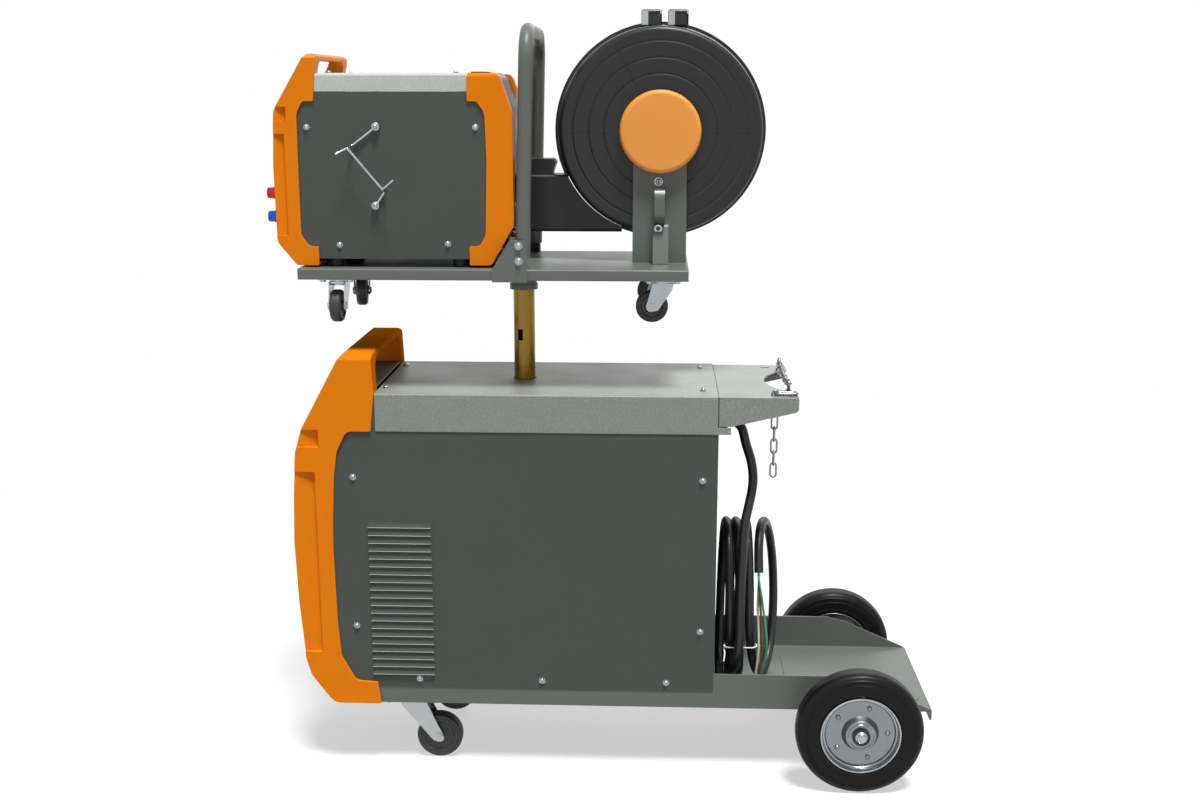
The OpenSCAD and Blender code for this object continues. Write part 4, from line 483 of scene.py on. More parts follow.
def wire(bm, points, radius, sides=10):
    """Sweeps a ring of vertices along points to make a bent rod with round ends."""
    path = [Vector(p) * MM for p in points]
    r = radius * MM
    before = set(bm.faces)
    ahead = (path[1] - path[0]).normalized()
    behind = (path[-1] - path[-2]).normalized()
    side = ahead.orthogonal().normalized()
    # Each end is a smaller ring, a little way out
    out, narrow = 0.6 * r, 0.55
    stations = [(path[0] - ahead * out, narrow)] + [(p, 1.0) for p in path]
    stations.append((path[-1] + behind * out, narrow))
    rings = []
    for i, (p, s) in enumerate(stations):
        q = stations[min(i + 1, len(stations) - 1)][0] - stations[max(i - 1, 0)][0]
        q.normalize()
        side = (side - q * side.dot(q)).normalized()
        ring = bmesh.ops.create_circle(bm, segments=sides, radius=r * s)["verts"]
        turned = Matrix((side, q.cross(side), q)).transposed().to_4x4()
        bmesh.ops.transform(bm, matrix=Matrix.Translation(p) @ turned, verts=ring)
        rings.append(unique(e for v in ring for e in v.link_edges))
    for a, b in zip(rings, rings[1:]):
        bmesh.ops.bridge_loops(bm, edges=a + b)
    for edges in (rings[0], rings[-1]):
        bmesh.ops.contextual_create(bm, geom=edges)
    bmesh.ops.recalc_face_normals(bm, faces=[f for f in bm.faces if f not in before])


def carved(bm, cutters):
    """The mesh with the closed shapes of `cutters` taken away."""
    held = [placed("carving", as_mesh("carving", shape)) for shape in (bm, cutters)]
    tool = held[0].modifiers.new("carve", "BOOLEAN")
    tool.operation, tool.solver, tool.object = "DIFFERENCE", "EXACT", held[1]
    done = held[0].evaluated_get(bpy.context.evaluated_depsgraph_get())
    result = bmesh.new()
    result.from_mesh(done.to_mesh())
    done.to_mesh_clear()
    for made in held:
        mesh = made.data
        bpy.data.objects.remove(made)
        bpy.data.meshes.remove(mesh)
    return made_whole(result, 0.3)


# ---- Sizes and colours that a user may change ----


def colour_of(name, code, about):
    return bpy.props.FloatVectorProperty(
        name=name, description=about, size=4, subtype="COLOR", min=0.0, max=1.0, default=linear(code)
    )


def length_of(name, metres, about):
    return bpy.props.FloatProperty(
        name=name, description=about, default=metres, min=0.0, unit="LENGTH", subtype="DISTANCE"
    )


class WelderColours(bpy.types.PropertyGroup):
    """Colours of the painted and moulded pieces."""

    graphite: colour_of("Graphite panels", "#4a4f4b", "Powder coat of the side panels and the tray")
    hammer: colour_of("Hammer grey", "#7d827c", "Hammer finish of the top cover and the bottle rack")
    pale_hammer: colour_of("Pale hammer grey", "#b6bab5", "Hammer finish of the feeder's top cover")
    deck: colour_of("Deck grey", "#5f645f", "Enamel of the trolley deck, handle and spool post")
    orange: colour_of("Orange bezels", "#e57f10", "Moulded bezels of the machine and the feeder")
    cap: colour_of("Orange cap", "#ec9a45", "Moulded cap over the spool's hub")


class WelderSizes(bpy.types.PropertyGroup):
    """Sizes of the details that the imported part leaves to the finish."""

    edge: length_of("Sheet edge", 0.0006, "Rounding of folded and cut sheet edges")
    moulded_edge: length_of("Moulded edge", 0.0022, "Rounding of the moulded bezels' edges")
    cable: length_of("Cable diameter", 0.015, "Outside diameter of the mains cable")
    core: length_of("Core diameter", 0.004, "Diameter of one insulated core")
    tie: length_of("Tie diameter", 0.0024, "Diameter of the twine round the hank")
    hanger: length_of("Hanger wire", 0.004, "Diameter of the torch hangers' wire")


def sizes():
    return bpy.context.scene.welder_sizes


class Maker(bpy.types.Operator):
    """Base of the operators below."""

    bl_options = {"REGISTER", "UNDO"}


# ---- Camera ----

LENS, SENSOR = 41.17, 36.0
CAMERA_AT = (0.07825, -2.1793, 1.0812)  # metres
CAMERA_TILT, CAMERA_PAN = 77.244, 2.384  # degrees


class WELDER_OT_camera(Maker):
    """Places the camera in front of the side with the hub cap"""

    bl_idname = "welder.camera"
    bl_label = "Camera"

    def execute(self, context):
        lens = bpy.data.cameras.new("camera")
        lens.lens, lens.sensor_width = LENS, SENSOR
        lens.clip_start, lens.clip_end = 0.05, 60.0
        made = placed("camera", lens)
        made.location = CAMERA_AT
        made.rotation_euler = (math.radians(CAMERA_TILT), 0.0, math.radians(CAMERA_PAN))
        context.scene.camera = made
        return {"FINISHED"}


# ---- Mains cable ----

REAR = 174.0  # outer face of the rear panel
TRAY_TOP = 113.0
GLAND = Vector((REAR, -24, 560))
# The hank's loops: the first loop's X, their middle's Y and Z, half their height, the pitch of the strands
HANK_X, HANK_Y, HANK_Z, HANK_HALF, PITCH = 186.0, -75.0, 251.8, 131.0, 15.8
PER_TURN, HANK_START, HANK_STEPS = 72, 5.5 / 24, 264
THROW = 44  # how far the last loop is thrown out
TIE_Z = 188
LEAD_X, LEAD_Y = HANK_X + 2 * PITCH, HANK_Y - PITCH - 1
LEAD = [
    (206, GLAND.y, GLAND.z), (217, -29, 550), (224, -36, 525), (232, -46, 500), (235, -56, 476),
    (233, -66, 456), (228, -76, 435), (223, -85, 414), (220, -90, 388), (219, LEAD_Y, 350),
    (218, LEAD_Y, 315), (LEAD_X, LEAD_Y, 282),
]
# Below the loops the lead turns in and becomes the first of them
TURN_IN = [
    (LEAD_X, LEAD_Y, 258), (LEAD_X, LEAD_Y, 243), (LEAD_X, LEAD_Y, 215), (215, -91, 188), (208, -84, 158),
    (198, -67, 134), (189.4, -42, 124.8),
]
CORES = (("white", "#dedbd2"), ("brown", "#7b4a2e"), ("green", "#2f9d72"))
KNOT = ((2.5, -1, 3), (-2, -2.5, 1), (-2.5, 1, -2), (2, -1, -2.5), (0, -2.5, 2.5), (-1, -4, 0),
        (0, -14, -6), (-2, -26, -15))
SHORT_TAIL = ((0, -1, 2), (-1, -4, 4), (1, -10, 3))
# Steps of the boot, as radius and distance from the rear panel, down to the cable's own radius
BOOT = [(7.6, 6), (13.4, 8.4), (13.9, 10), (13.2, 14), (12.6, 15), (12.9, 16), (11.8, 18), (12.0, 19),
        (10.2, 20.5), (9.0, 22), (7.6, 22)]


def hank_point(t):
    """Where the hank is after t turns: down the near side and up the far side."""
    a, late = 2 * math.pi * t, max(0.0, t - 3.0)
    thrown = THROW * math.sin(math.pi * min(1.0, late / 0.9)) ** 2
    return Vector((HANK_X + PITCH * t + thrown, HANK_Y * math.cos(a), HANK_Z - HANK_HALF * math.sin(a)))


class WELDER_OT_mains_cable(Maker):
    """Lays the mains cable from its strain relief into the hank, with its bare cores and the tie"""

    bl_idname = "welder.mains_cable"
    bl_label = "Mains cable"

    def execute(self, context):
        s = sizes()
        turns = [hank_point(HANK_START + i / PER_TURN) for i in range(HANK_STEPS + 1)]
        lead = smooth_path(LEAD + TURN_IN + turns[:2], 4)[:-5]
        ahead = (turns[-1] - turns[-2]).normalized()
        path = [GLAND + Vector((22, 0, 0))] + lead + turns + [turns[-1] + ahead * 15]
        cable = tube("mains_cable", path, s.cable, "power_source", cable_jacket())
        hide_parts("mains_lead", "mains_hank")

        low = TRAY_TOP + s.core / MM / 2 + 1
        self.cores(path[-1], ahead, low)
        strands = self.strands(path[-1], low + 9)
        tie = self.tie(path)
        self.gland()
        return {"FINISHED"}

    def cores(self, end, ahead, low):
        """Three insulated cores that leave the jacket side by side and hang to just above the tray."""
        across = ahead.cross(Vector((1, 0, 0))).normalized() * 4.6
        for i, (name, code) in enumerate(CORES):
            e = end + across * (i - 1) + ahead * 0.1
            route = [e] + smooth_path([
                e + ahead * 6, e + ahead * 16, (e.x + 4 * i, e.y - 1, e.z - 60),
                (e.x + 3 + 6 * i, e.y - 3, e.z - 125), (e.x - 1 + 4 * i, e.y, low + 20),
                (e.x + 4 * i - 2, e.y, low),
            ], 8)
            wide = sizes().core
            core = tube("cable_core_" + name, route, wide, "power_source",
                        core_pvc(name, code))
            if i == 0:
                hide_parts("cable_cores")

    def strands(self, end, z):
        """The frayed copper ends of the cores, fanned out just above the tray."""
        bm = bmesh.new()
        for i in range(len(CORES)):
            foot = Vector((end.x + 4 * i - 1.2, end.y + (i - 1) * 3.0, z))
            for k in range(7):
                a = 2.4 * k + i
                out = Vector((math.cos(a), math.sin(a), 0)) * (1.0 + 0.5 * (k % 3))
                wire(bm, [foot + out * 0.6, foot + out * 2.2 + Vector((0, 0, -3)),
                          foot + out * 4.2 + Vector((0, 0, -5.6 - 0.5 * (k % 2)))], 0.35, 5)
        return finished("core_strands", bm, [copper_wire()], body="power_source")

    def tie(self, path):
        """Twine tied round the near side of the hank, its knot towards the panel."""
        near = [a.lerp(b, (TIE_Z - a.z) / (b.z - a.z)) for a, b in zip(path, path[1:])
                if (a.z - TIE_Z) * (b.z - TIE_Z) < 0 and a.y < -40]
        r = sizes().tie / MM / 2
        reach = sizes().cable / MM / 2 + r + 0.3
        ring = []
        for k in range(55):
            a = math.radians(196 + 344 * k / 54)
            out = Vector((math.cos(a), math.sin(a), 0))
            held = max(near, key=out.dot)
            ring.append(held + out * reach + Vector((0, 0, 5 * (held.y - HANK_Y) / 16 + 0.05 * k)))
        bm = bmesh.new()
        wire(bm, ring, r, 8)
        for points in (KNOT, SHORT_TAIL):
            wire(bm, [ring[0] + Vector(v) for v in points], r, 8)
        return finished("cable_tie", bm, [white_twine()], body="power_source", smooth=60)

    def gland(self):
        """Hexagon gland with its clamping cone, and a boot that tapers onto the cable."""
        bm = bmesh.new()
        out = Vector((1, 0, 0))
        hexagon(bm, GLAND + out * 1.6, out, 17, 8.2, bore=12)
        turn(bm, BOOT, GLAND, out, 40)
        rod(bm, GLAND - out * 10, GLAND + out * 4, 12.9, 40)
        finished("cable_gland_skin", bm, [black_abs()], "cable_gland")


# ---- Cart and case ----

FRONT, HALF_W = -356.0, 130.0  # front edge and outer face of the side panels
CONTROL_SOCKET = Vector((100, 400))  # its Y and Z on the rear panel


class WELDER_OT_case(Maker):
    """Finishes the tray with its bottle shelf, the panels, the top cover and the bottle rack"""

    bl_idname = "welder.case"
    bl_label = "Cart and case"

    def execute(self, context):
        dress("base_tray", deck_enamel())
        for side in ("side_panel_right", "side_panel_left"):
            # The lips of the louvres stand proud, and their upper faces take a painted highlight
            dress(side, graphite_powder_coat(),
                  [(lip_highlight_powder_coat(), lambda c, n: abs(c.y) > HALF_W + 3.4 and n.z > -0.3)],
                  edge=0.7)
        dress("top_cover", hammer_enamel(), edge=1.4)
        dress("bottle_rack", hammer_enamel())
        dress("rear_panel", graphite_powder_coat(),
              [(black_abs(), lambda c, n: (c.yz - CONTROL_SOCKET).length < 24)], edge=0.6)
        dress("column_socket", deck_enamel())
        self.screws()
        return {"FINISHED"}

    def screws(self):
        """Pan head screws: four in each panel, three along its foot, four in the cover."""
        bm = bmesh.new()
        back = REAR - 22
        for s in (-1, 1):
            for x, z in ((FRONT - 38, 490), (back, 490), (FRONT - 41, 243), (back, 241),
                         (FRONT + 58, 153), (FRONT + 256, 153), (FRONT + 455, 153)):
                screw(bm, (x, s * HALF_W, z), (0, s, 0), 4.0)
            for x in (FRONT + 11, back):
                screw(bm, (x, s * (HALF_W - 40), 624), (0, 0, 1), 4.0)
        finished("body_screws_skin", bm, [bright_zinc()], "body_screws")


class WELDER_OT_front(Maker):
    """Finishes the orange front bezel with its handle arch, and the panel with the output sockets"""

    bl_idname = "welder.front"
    bl_label = "Front bezel and panel"

    def execute(self, context):
        # The handle's top and rear faces take the matt orange with painted shade
        dress("front_bezel", orange_abs(),
              [(matt_shaded_abs(), lambda c, n: c.z > 640 and (n.z > 0.25 or n.x > 0.5))],
              size="moulded_edge", segments=3)
        dress("front_panel", black_abs())
        return {"FINISHED"}


class WELDER_OT_inner(Maker):
    """Finishes what the case holds: heatsink, transformer, capacitors, fan and mains switch"""

    bl_idname = "welder.inner"
    bl_label = "Inside the case"

    def execute(self, context):
        def core(c, n):
            return -181 < c.x < -59 and abs(c.y) < 46 and c.z < 255

        def winding(c, n):
            return -151 < c.x < -89 and abs(c.y) > 45.5 and 130 < c.z < 230

        def board(c, n):
            return c.x < -29 and 436.5 < c.z < 442 and abs(c.y) < 67

        def capacitors(c, n):
            return c.x < -90 and c.z > 442

        def fan_frame(c, n):
            return c.x > 144

        dress("power_module", cast_alloy(),
              [(varnish("laminations", "#5b4f3c"), core), (copper_wire(), winding),
               (varnish("board", "#2f5d38"), board), (varnish("sleeve", "#2a4a7c"), capacitors),
               (black_abs(), fan_frame)], edge=0.8)
        dress("fan_rotor", black_abs(), edge=0.8)
        dress("mains_switch", black_abs(), edge=1.5)
        return {"FINISHED"}


class WELDER_OT_column(Maker):
    """Finishes the drawn tube that carries the trolley"""

    bl_idname = "welder.column"
    bl_label = "Column"

    def execute(self, context):
        dress("column", yellow_passivated_zinc(), edge=0.7)
        return {"FINISHED"}


class WELDER_OT_chain(Maker):
    """Finishes the bottle chain, its eye bolts, the snap hook and the hanging end"""

    bl_idname = "welder.chain"
    bl_label = "Bottle chain"

    def execute(self, context):
        for node in ("chain_span", "chain_tail"):
            dress(node, chain_steel(), edge=0, smooth=50)
        return {"FINISHED"}


# ---- Wheels ----

AXLE_X, AXLE_Z, WHEEL_MID = 402.0, 100.0, 177.0
WHEEL_R, RIM_R, TYRE_HALF = 100.0, 63.0, 22.0
RIVETS, RIVET_CIRCLE = 5, 43
# Steps of the tyre's side, out from the rim's radius and in from the tyre's own, and in from its face
SIDEWALL = ((0.05, 3), (1.2, 2.6), (2.6, 1.0), (4.4, 0.3), (7, 0.1), (8.2, 0.7), (9.4, 0.1))
SHOULDER = ((-18, 0.05), (-16.4, 0.1), (-15.6, 1.4), (-12, 1.5), (-8.6, 2.0), (-7.6, 3.2), (-5, 4.2),
            (-2.6, 6.6), (-1.0, 10))
# The pressed disc, in from the rim's radius: rolled lip, and a cone with a second bead
LIP = ((-0.1, 1.6), (-0.5, 0.6), (-1.5, 0.1), (-2.6, 0.5), (-3.3, 1.8), (-3.7, 5), (-5.4, 7.4), (-6.8, 7.2),
       (-7.8, 8.0), (-9.4, 11.4), (-12, 12.6))
# then, as radii, the flat web and the bell round the hub, and back behind them
BELL = ((33, 12.4), (29, 11.0), (26.5, 7.4), (25.2, 3.4), (23.4, 0.8), (20.6, -0.2), (20.6, 3), (22.6, 4.2),
        (24, 8), (27, 13.6), (32, 14.6))
BEHIND = ((-11, 14.6), (-7, 12), (-2.4, 9), (-2.4, 2 * TYRE_HALF - 5), (-0.6, 2 * TYRE_HALF - 1),
          (-0.1, 2 * TYRE_HALF - 1.4))
HUB = ((9.1, -23), (19.4, -23), (20, -22.4), (20, 22.4), (19.4, 23), (9.1, 23))
RIVET = ((0, 0), (3.9, 0), (3.9, 0.8), (3.2, 1.9), (1.8, 2.6), (0, 2.8))
COLLAR = ((9.4, 0), (9.4, 0.6), (8.2, 1.0), (8.0, 1.9), (8.4, 2.3), (8.2, 3.2), (6.8, 3.6), (6.6, 4.6),
          (7.0, 5.0), (6.6, 5.8), (4.4, 6.6), (0, 6.8))


class WELDER_OT_rear_wheels(Maker):
    """Turns the solid tyres, the pressed discs and the stepped hub ends, and finishes the axle"""

    bl_idname = "welder.rear_wheels"
    bl_label = "Rear wheels"

    def execute(self, context):
        tyre = both_sides(
            stepped(RIM_R, -TYRE_HALF, SIDEWALL) + stepped(WHEEL_R, -TYRE_HALF, SHOULDER)
            + [(WHEEL_R - 0.3, -9), (WHEEL_R, -7)]
        )
        for name, side in (("right", -1), ("left", 1)):
            centre = (AXLE_X, side * WHEEL_MID, AXLE_Z)
            bm = bmesh.new()
            turn(bm, tyre, centre, (0, 1, 0), 120)
            finished("tyre_" + name, bm, [solid_rubber()], "rear_tyre_" + name, smooth=30)
            finished("rim_" + name, self.rim(centre, side), [pressed_zinc(), bright_zinc()],
                     "rear_rim_" + name, smooth=32)

        def hub_ends(bm):
            for side in (-1, 1):
                turn(bm, COLLAR, (AXLE_X, side * 203.8, AXLE_Z), (0, side, 0), 32, 2, closed=False)

        dress("axle", bright_zinc(),
              [(oiled_steel(), lambda c, n: abs(c.y) > 200.2), (bright_zinc(), None)], more=hub_ends)
        return {"FINISHED"}

    def rim(self, centre, side):
        """The disc with its bright lip and bead, the hub tube and the rivets through the web."""
        bm = bmesh.new()
        face = -TYRE_HALF
        profile = stepped(RIM_R, face, LIP) + stepped(0, face, BELL) + stepped(RIM_R, face, BEHIND)
        for f in turn(bm, profile, centre, (0, -side, 0), 96):
            c = f.calc_center_median() / MM - Vector(centre)
            wide = math.hypot(c.x, c.z)
            polished = wide > RIM_R - 3.6 or RIM_R - 8 < wide < RIM_R - 5
            f.material_index = int(c.y * side > 0 and polished)
        turn(bm, HUB, centre, (0, -side, 0), 48)
        for k in range(RIVETS):
            a = math.radians(18 + 360 / RIVETS * k)
            foot = Vector(centre) + Vector(
                (RIVET_CIRCLE * math.sin(a), side * (TYRE_HALF - 12.1), RIVET_CIRCLE * math.cos(a))
            )
            turn(bm, RIVET, foot, (0, side, 0), 16, closed=False)
        return bm


# Steps of a caster wheel: shares of its radius with the way in from its face
TREAD_SIDE = ((0.63, 2.3), (0.66, 1.0), (0.69, 0.25), (0.74, 0.05), (0.80, 0.1), (0.815, 0.6), (0.83, 0.15))
TREAD_EDGE = ((-3.0, 0.5), (-1.4, 1.7), (-0.5, 3.5), (-0.05, 5.6))
HUB_BOSS = ((0.1, -1.5), (3.6, -1.5), (4.0, -1.1), (4.6, 1.0))
HUB_WEB = ((0.42, 2.2), (0.46, 1.6), (0.50, 2.3), (0.635, 2.4))


def caster_wheel(end, name, axis, radius, width, bore):
    """A rubber tread on a moulded hub with a ring groove in each face."""
    node = end + "_wheel_" + name
    low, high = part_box(node)
    centre, face = (low + high) / 2 / MM, -width / 2
    tread = [(radius * a, face + b) for a, b in TREAD_SIDE] + stepped(radius, face, TREAD_EDGE)
    hub = stepped(bore, face, HUB_BOSS) + [(radius * a, face + b) for a, b in HUB_WEB]
    bm = bmesh.new()
    turn(bm, both_sides(tread), centre, axis, 72)
    turn(bm, both_sides(hub), centre, axis, 72, 1)
    finished(end + "_roller_" + name, bm, [tread_rubber(), black_abs()], node, smooth=35)


class WELDER_OT_front_casters(Maker):
    """Finishes the two front casters: plates, swivel forks and wheels"""

    bl_idname = "welder.front_casters"
    bl_label = "Front casters"

    def execute(self, context):
        def race(c, n):
            return 104.2 < c.z < 107.4 and not n.z

        dress("caster_plates", bright_zinc(), [(yellow_passivated_zinc(), race)])
        for name in ("right", "left"):
            dress("caster_fork_" + name, bright_zinc())
            caster_wheel("caster", name, (0, 1, 0), 37.5, 24, 4.1)
        return {"FINISHED"}


# ---- Trolley ----

COLUMN_X, DECK_Z = -134.5, 816.0
SPOOL = Vector((81.5, 36.0, 1018.0))
POST_Y = SPOOL.y - 65.0
HUB_CAP_R = 63.0
# The hub cap's rounded edge, in from its radius, and its hollow inside, both from its back face
CAP_EDGE = ((-8, -20), (-5.4, -19.8), (-3.2, -18.9), (-1.6, -17.4), (-0.7, -15.4), (-0.2, -12), (0, -8),
            (0, -0.6), (-0.6, 0), (-3, 0), (-3, -14), (-6, -17))
RING_NUT = ((2.8, 0), (6.6, 0), (6.9, 0.4), (6.9, 5.9), (6.2, 6.8), (3.4, 6.8), (2.8, 6.2))


class WELDER_OT_trolley(Maker):
    """Finishes the deck with its swivel sleeve, and the bent tube handle on its gusset brackets"""

    bl_idname = "welder.trolley"
    bl_label = "Trolley deck and handle"

    def execute(self, context):
        def caster_plate(c, n):
            return c.z < 799.2 and (abs(c.x + 413) < 34 or abs(c.x - 88) < 34) and abs(c.y) > 50

        dress("trolley_deck", deck_enamel(), [(bright_zinc(), caster_plate)])

        def bolts(bm):
            for s in (-1, 1):
                for z in (DECK_Z + 13, DECK_Z + 36):
                    screw(bm, (COLUMN_X + 5, s * 129, z), (0, s, 0), 4.6, index=1)

        dress("loop_handle", deck_enamel(), [(bright_zinc(), lambda c, n: abs(c.y) > 129.2)],
              smooth=35, more=bolts)
        return {"FINISHED"}


class WELDER_OT_trolley_casters(Maker):
    """Finishes the four small casters under the trolley"""

    bl_idname = "welder.trolley_casters"
    bl_label = "Trolley casters"

    def execute(self, context):
        for name, heading in (("front_right", 270), ("front_left", 278), ("rear_right", 180),
                              ("rear_left", 180)):
            dress("small_fork_" + name, bright_zinc(), edge=0.8)
            a = math.radians(heading)
            caster_wheel("small", name, (-math.sin(a), math.cos(a), 0), 25, 18, 3.1)
        return {"FINISHED"}


class WELDER_OT_spool_post(Maker):
    """Finishes the spool post with its strap handle, screws and hub cap"""

    bl_idname = "welder.spool_post"
    bl_label = "Spool post and hub cap"

    def execute(self, context):
        x, y = SPOOL.x - 2, POST_Y - 3

        def fastenings(bm):
            screw(bm, (x, y, SPOOL.z - 76), (0, -1, 0), 5.0, index=2)
            turn(bm, RING_NUT, (x, y, SPOOL.z - 148), (0, -1, 0), 32, 2)

        # The strap's top band takes the bright alloy finish as a painted highlight where its bend faces the
        # light
        def strap_highlight_band(c, n):
            return abs(c.x - SPOOL.x) < 8.3 and 926 < c.z < 937 and c.y < y + 0.4

        dress("spool_post", deck_enamel(), [(cast_alloy(), strap_highlight_band), (bright_zinc(), None)], more=fastenings)

        bm = bmesh.new()
        back = POST_Y - 3.1
        profile = stepped(0, back, ((0, -20), (30, -20.2))) + stepped(HUB_CAP_R, back, CAP_EDGE)
        profile += stepped(0, back, ((20, -17), (20, -6.5), (0, -6.5)))
        turn(bm, profile, (SPOOL.x, 0, SPOOL.z), (0, 1, 0), 128, closed=False)
        finished("hub_cap_skin", bm, [orange_polypropylene()], "hub_cap", smooth=50)
        return {"FINISHED"}


# The spool cover: its radius, its rim flange's, the distance from its middle to its face, and its wall
COVER_R, RIM, COVER_HALF, WALL = 161.0, 166.0, 61.0, 2.0
RING_GROOVE = ((-3.2, 0), (-2.0, 0.2), (-1.0, 0.9), (0, 1.2), (1.0, 0.9), (2.0, 0.2), (3.2, 0))
FLOW_LINES = (0, 118, 180)  # degrees
# The boss in the middle of the left half, as radii and steps from its face
BOSS = ((0, -3), (26, -3), (26.4, -2), (26.4, 1), (25.8, 2), (21, 3.4), (19, 4), (0, 4))


def cover_half(side, hole, corner, draft):
    """A dished half of the spool cover with pressed rings, a rolled shoulder and a rim flange."""
    bend = [math.radians(a) for a in range(0, 91, 15)]
    middle, face = COVER_R - draft - corner, -COVER_HALF

    def rounded(r, angles):
        return [(middle + r * math.sin(a), face + corner - r * math.cos(a)) for a in angles]

    profile = [(hole, face + 0.2)]
    for inwards in (74, 50, 25):
        profile += stepped(COVER_R - inwards, face, RING_GROOVE)
    profile += rounded(corner, bend)
    profile += [(COVER_R - 0.1, -9.2), (COVER_R + 0.5, -8.3), (RIM - 0.8, -8), (RIM, -7.3), (RIM, -0.4),
                (RIM - 0.4, -0.1), (COVER_R - WALL, -0.1)]
    profile += rounded(corner - WALL, reversed(bend)) + [(hole, face + WALL)]
    bm = bmesh.new()
    turn(bm, profile, SPOOL, (0, -side, 0), 144)
    return bm


def duct_slot():
    """The cutter for the opening where the wire duct enters the cover."""
    bm = bmesh.new()
    low = SPOOL - Vector((181, 30, 158))
    box(bm, low, low + Vector((121, 60, 90)), bevel=0)
    return bm


class WELDER_OT_spool_cover(Maker):
    """Forms both halves of the spool cover with their ring grooves, the draw latches and the wire duct"""

    bl_idname = "welder.spool_cover"
    bl_label = "Spool cover and duct"

    def execute(self, context):
        plastic = black_polyethylene()
        right = carved(cover_half(-1, 12, 9, 3), duct_slot())
        start = SPOOL - Vector((0, COVER_HALF - 0.05, 0))
        for angle in map(math.radians, FLOW_LINES):
            out = Vector((math.cos(angle), 0, math.sin(angle)))
            wire(right, [start + out * r for r in (58, 104, 148)], 0.45, 8)
        finished("spool_cover_right_shell", right, [plastic], "spool_cover_right", smooth=32)
        left = carved(cover_half(1, 26, 5, 0), duct_slot())
        turn(left, BOSS, SPOOL + Vector((0, COVER_HALF, 0)), (0, 1, 0), 48, closed=False)
        finished("spool_cover_left_shell", left, [plastic], "spool_cover_left", smooth=32)
        self.latches()
        dress("wire_duct", plastic, edge=2, segments=3)
        return {"FINISHED"}

    def latches(self):
        """Bases and catches of bent strip, and the two levers."""
        top = SPOOL.z + RIM
        y, z = SPOOL.y - 17, top + 13
        for x in (SPOOL.x - 15, SPOOL.x + 26):
            bm = bmesh.new()
            for s in (-16, 13.5):
                box(bm, (x + s, y - 5, top - 6), (x + s + 2.5, y + 5, z + 3.6))
            box(bm, (x - 16, y - 5, top - 6), (x - 5, y - 3.4, z + 1.6), 0)
            box(bm, (x - 4.9, y - 5, top - 6), (x + 16, y - 3.4, z - 2), 1)
            rod(bm, (x - 15.4, y, z), (x + 15.4, y, z), 1.9, 20)
            finished("latch_base_%d" % round(x), bm, [bright_zinc(), oiled_steel()], body="trolley")
            bm = bmesh.new()
            box(bm, (x - 10, SPOOL.y + 0.4, top - 6), (x + 10, SPOOL.y + 12, z - 5.4), bevel=0.8)
            finished("latch_catch_%d" % round(x), bm, [bright_zinc()], body="spool_cover")
        dress("spool_latches", oiled_steel())


class WELDER_OT_wire_spool(Maker):
    """Finishes the spool with its level wound wire"""

    bl_idname = "welder.wire_spool"
    bl_label = "Wire spool"

    def execute(self, context):
        def wound(c, n):
            return 51 < math.hypot(c.x - SPOOL.x, c.z - SPOOL.z) < 128.5 and abs(c.y - SPOOL.y) < 46.05

        dress("wire_spool", black_abs(), [(copper_wire(), wound)], smooth=30)
        return {"FINISHED"}


# ---- Wire feeder ----

FEED_X0, FEED_X1, FEED_Z0, FEED_Z1, FEED_HALF = -437.0, -205.0, 820.0, 1105.0, 105.0
FACE_X, DUCT_MID = -483.0, 905.0
FINGER_RIB = ((-6, 20.5), (-1, 19.3), (4, 19.6))
ROLL_X, LOWER_ROLL_Z, UPPER_ROLL_Z = -331, 890, 920
COUPLER_Y = -60
# The sleeve of a quick coupler, as radius and distance from the panel, with two finger grooves
SLEEVE = ((4.6, 12), (8, 12), (8.5, 12.6), (8.5, 19.4), (9.2, 20), (9.6, 20.8), (9.6, 24.6), (9.0, 25.2),
          (9.0, 26.8), (9.6, 27.4), (9.6, 31.2), (9.0, 32), (8.5, 32.6), (8.5, 40), (7.8, 41), (4.6, 41))
# The hangers' bends, from the middle of the pair on the outer face of the wire
HANGER_MID = Vector((FEED_X0 + 88, -FEED_HALF - 4, FEED_Z0 + 148))
UPPER_HOOK = ((6, 0, 59), (-12, 0, 45), (-27, 0, 34), (-32, -4, 30), (-33, -12, 29), (-33, -20, 28),
              (-37, -25, 26), (-48, -34, 20))
LOWER_HOOK = ((2, 0, -58), (9, 0, -48), (15, 0, -39), (18, -4, -35), (18, -12, -34), (18, -20, -33),
              (22, -25, -29), (36, -34, -18))
HOOK_BAR = ((-33, -21.5, 28), (18, -21.5, -33))


class WELDER_OT_feeder_case(Maker):
    """Finishes the feeder's base, panels, top cover, door and black rear cover"""

    bl_idname = "welder.feeder_case"
    bl_label = "Feeder case"

    def execute(self, context):
        def panel_screws(bm):
            for x, z in ((FEED_X0 - 11, 206), (FEED_X1 + 11, 206), (FEED_X0 + 32, 30), (FEED_X1 - 34, 32)):
                screw(bm, (x, -FEED_HALF, FEED_Z0 + z), (0, -1, 0), 3.5, index=2)

        def feet(c, n):
            return c.z < 828.9 and abs(abs(c.y) - 70) < 15

        dress("feeder_body", graphite_powder_coat(),
              [(tread_rubber(), feet), (bright_zinc(), lambda c, n: c.y < -FEED_HALF - 0.1)],
              edge=0.8, more=panel_screws)

        def cover_screws(bm):
            for x in (FEED_X0 + 20, FEED_X1 - 20):
                for s in (-1, 1):
                    screw(bm, (x, s * (FEED_HALF - 25), FEED_Z1), (0, 0, 1), 3.2, index=1)

        dress("feeder_top_cover", pale_hammer_enamel(),
              [(bright_zinc(), lambda c, n: c.z > FEED_Z1 + 0.2)], more=cover_screws)
        dress("feeder_door", graphite_powder_coat(),
              [(black_abs(), lambda c, n: c.z < 870 and c.y > FEED_HALF + 0.05)], edge=0.8)
        dress("feeder_rear_cover", black_polyethylene(),
              [(bright_zinc(), lambda c, n: c.x > -146.9)], edge=2, segments=3)
        return {"FINISHED"}


